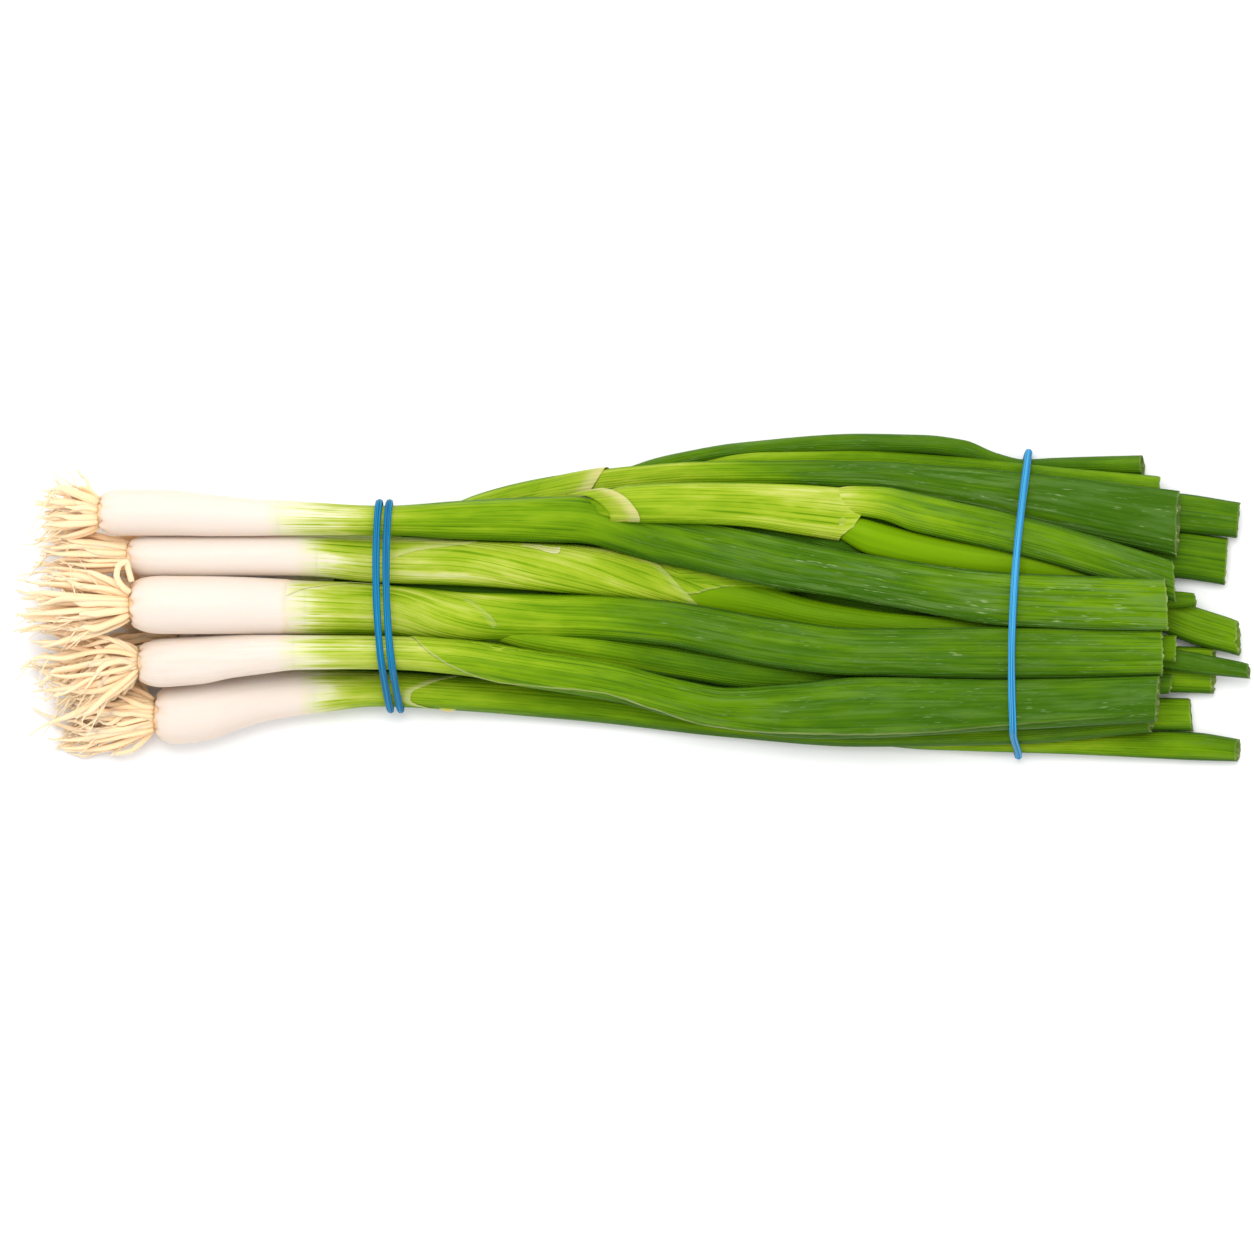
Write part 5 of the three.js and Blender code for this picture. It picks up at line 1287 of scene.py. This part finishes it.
def plant_material(name, relief, subsurface, tint):
    """Skin as plant_group paints it, with soft gloss and light that passes into it where it is white."""
    made, tree = new_material(name)
    values = {key: attribute(tree, key.lower()) for key in ("Tone", "Bloom", "Young", "Pale", "Dry")}
    values["Fibre"] = attribute(tree, "fibre", "Vector")
    skin = node(tree, "ShaderNodeGroup", values, node_tree=PLANT_SKIN).outputs
    principled(
        tree, Base_Color=skin["Color"], Roughness=skin["Roughness"],
        Normal=bump(tree, skin["Height"], relief, 1.0), Subsurface_Weight=subsurface,
        Subsurface_Radius=(1.0, 0.55, 0.3), Subsurface_Scale=0.004,
        Specular_IOR_Level=0.12, Specular_Tint=tint)
    return made


# A root's colour from where it begins to its tip
ROOT_AGES = [
    (0.0, (0.84, 0.56, 0.32)),
    (0.12, (0.88, 0.605, 0.365)),
    (0.6, (0.90, 0.64, 0.41)),
    (1.0, (0.82, 0.635, 0.43)),
]
ROOT_TAN, ROOT_LIGHT = (0.80, 0.53, 0.27, 1), (0.90, 0.68, 0.42, 1)


def root_material():
    """Cream roots, patchy with tan and lighter along the grain."""
    made, tree = new_material("root_cream")
    place = node(tree, "ShaderNodeTexCoord").outputs["Object"]
    patch = noise(tree, place, 160.0, 2.0)
    grain = noise(tree, attribute(tree, "fibre", "Vector"), 2.2, 3.0)
    base = ramp(tree, attribute(tree, "age"), ROOT_AGES)
    toned = mixed(tree, ranged(tree, patch, 0.45, 0.75, 0.0, 0.35), base, ROOT_TAN)
    fine = mixed(tree, ranged(tree, grain, 0.4, 0.7, 0.0, 0.35), toned, ROOT_LIGHT)
    principled(
        tree, Base_Color=fine, Roughness=ranged(tree, grain, 0.3, 0.7, 0.5, 0.65),
        Normal=bump(tree, grain, 0.1, 0.6), Subsurface_Weight=0.4, Subsurface_Radius=(1.0, 0.6, 0.35),
        Subsurface_Scale=0.0015, Specular_IOR_Level=0.15)
    return made


RUBBER_DUST = (0.10, 0.34, 0.46, 1)


def band_material(name, dark, light):
    """Stretched rubber, with fine lines along it and a dusty bloom in patches."""
    made, tree = new_material(name)
    fibre = attribute(tree, "fibre", "Vector")
    line = streaks(tree, fibre, 0.22, 60, 1.0)
    patch = streaks(tree, fibre, 1.2, 6, 3.0)
    colour = mixed(tree, ranged(tree, line, 0.4, 0.6), dark, light)
    dusted = mixed(tree, ranged(tree, patch, 0.6, 0.8, 0.0, 0.2), colour, RUBBER_DUST)
    principled(
        tree, Base_Color=dusted, Roughness=ranged(tree, patch, 0.3, 0.7, 0.4, 0.55),
        Normal=bump(tree, line, 0.12, 0.9), Specular_IOR_Level=0.15)
    return made


# ---- the scene round the bunch ----

FRAME_WIDTH = 332.3  # of the picture, at the height of the upper leaves
FRAME_HEIGHT = 18
FRAME_MIDDLE = (-0.13, -7.55)
LENS = 200
SENSOR = 36
CAMERA_NEAR, CAMERA_FAR = 0.05, 20  # metres, as is all below
FLOOR_HALF = 4.0
KEY_SIZE, KEY_POWER, KEY_PLACE = 1.0, 19, (-0.15, 0.62, 1.65)
WORLD_STRENGTH = 1.12


def in_scene(name, data):
    """A new object in the scene."""
    made = bpy.data.objects.new(name, data)
    bpy.context.scene.collection.objects.link(made)
    return made


def add_camera():
    """Straight down on the bunch, with a long lens."""
    data = bpy.data.cameras.new("camera")
    data.lens, data.sensor_width = LENS, SENSOR
    data.clip_start, data.clip_end = CAMERA_NEAR, CAMERA_FAR
    camera = in_scene("camera", data)
    distance = FRAME_WIDTH * LENS / SENSOR
    x, y = FRAME_MIDDLE
    camera.location = (x * MM + SHIFT[0], y * MM + SHIFT[1], (distance + FRAME_HEIGHT) * MM)
    bpy.context.scene.camera = camera


def add_floor():
    """A wide pale square."""
    mesh = bpy.data.meshes.new("floor")
    corners = [(x * FLOOR_HALF, y * FLOOR_HALF, 0) for x, y in ((-1, -1), (1, -1), (1, 1), (-1, 1))]
    mesh.from_pydata(corners, [], [(0, 1, 2, 3)])
    made, tree = new_material("pale_floor")
    principled(tree, Base_Color=(0.86, 0.86, 0.86, 1), Roughness=0.9, Specular_IOR_Level=0.0)
    mesh.materials.append(made)
    floor = in_scene("floor", mesh)


def add_key_light():
    """A large round lamp above the back, facing the origin."""
    data = bpy.data.lights.new("key_light", "AREA")
    data.shape, data.size, data.energy = "DISK", KEY_SIZE, KEY_POWER
    made = in_scene("key_light", data)
    made.location = KEY_PLACE
    x, y, z = KEY_PLACE
    made.rotation_euler = (np.arctan2(np.hypot(x, y), z), 0, np.arctan2(y, x) + np.pi / 2)


def add_world():
    """Even white light from all round."""
    world = bpy.data.worlds.new("studio")
    bpy.context.scene.world = world
    world.use_nodes = True
    background = world.node_tree.nodes["Background"]
    background.inputs["Color"].default_value = (1, 1, 1, 1)
    background.inputs["Strength"].default_value = WORLD_STRENGTH
    bpy.context.scene.view_settings.view_transform = "Standard"


add_camera()
add_floor()
add_world()
add_key_light()

# ---- the pieces ----

white = plant_material("shank_white", 0.05, 0.4, (1, 1, 1, 1))
green = plant_material("leaf_green", 0.14, 0.0, (0.7, 1, 0.2, 1))
cream = root_material()


def add_shank_piece(plant, green_x):
    shells = Shells()
    add_shank(shells, strands["stalk_%d" % plant], green_x)
    shells.piece("onion_%d_shank" % plant, white, "bulb_white", "onion_%d_bulb" % plant)


def add_greens_piece(plant, green_x):
    """The green part of a stalk, its leaves, those deep inside, and the thin skins on them."""
    random = np.random.default_rng(CUT_SEED + plant)
    shells = Shells()
    for strand in strands.values():
        if strand.plant == plant:
            add_green(shells, strand, strand.start - strand.neck if strand.parent else green_x, random)
    for number, inner in enumerate(INNER_LEAVES):
        if inner[0] == plant:
            leaf = inner_leaf(number, *inner)
            add_green(shells, leaf, leaf.start, random)
    for number, membrane in enumerate(MEMBRANES):
        if strands[membrane["on"]].plant == plant:
            add_membrane(shells, number, **membrane)
    shells.piece("onion_%d_greens" % plant, green, "leaf_green", "onion_%d_leaves" % plant)


for plant, green_x in GREEN_X.items():
    add_shank_piece(plant, green_x)
    add_greens_piece(plant, green_x)
    root_tuft(plant).piece("onion_%d_tuft" % plant, cream, "root_tan", "onion_%d_roots" % plant)

left_band(band_material("deep_blue_rubber", (0.001, 0.075, 0.19, 1), (0.004, 0.20, 0.38, 1)))
right_band(band_material("sky_blue_rubber", (0.006, 0.12, 0.29, 1), (0.05, 0.31, 0.56, 1)))
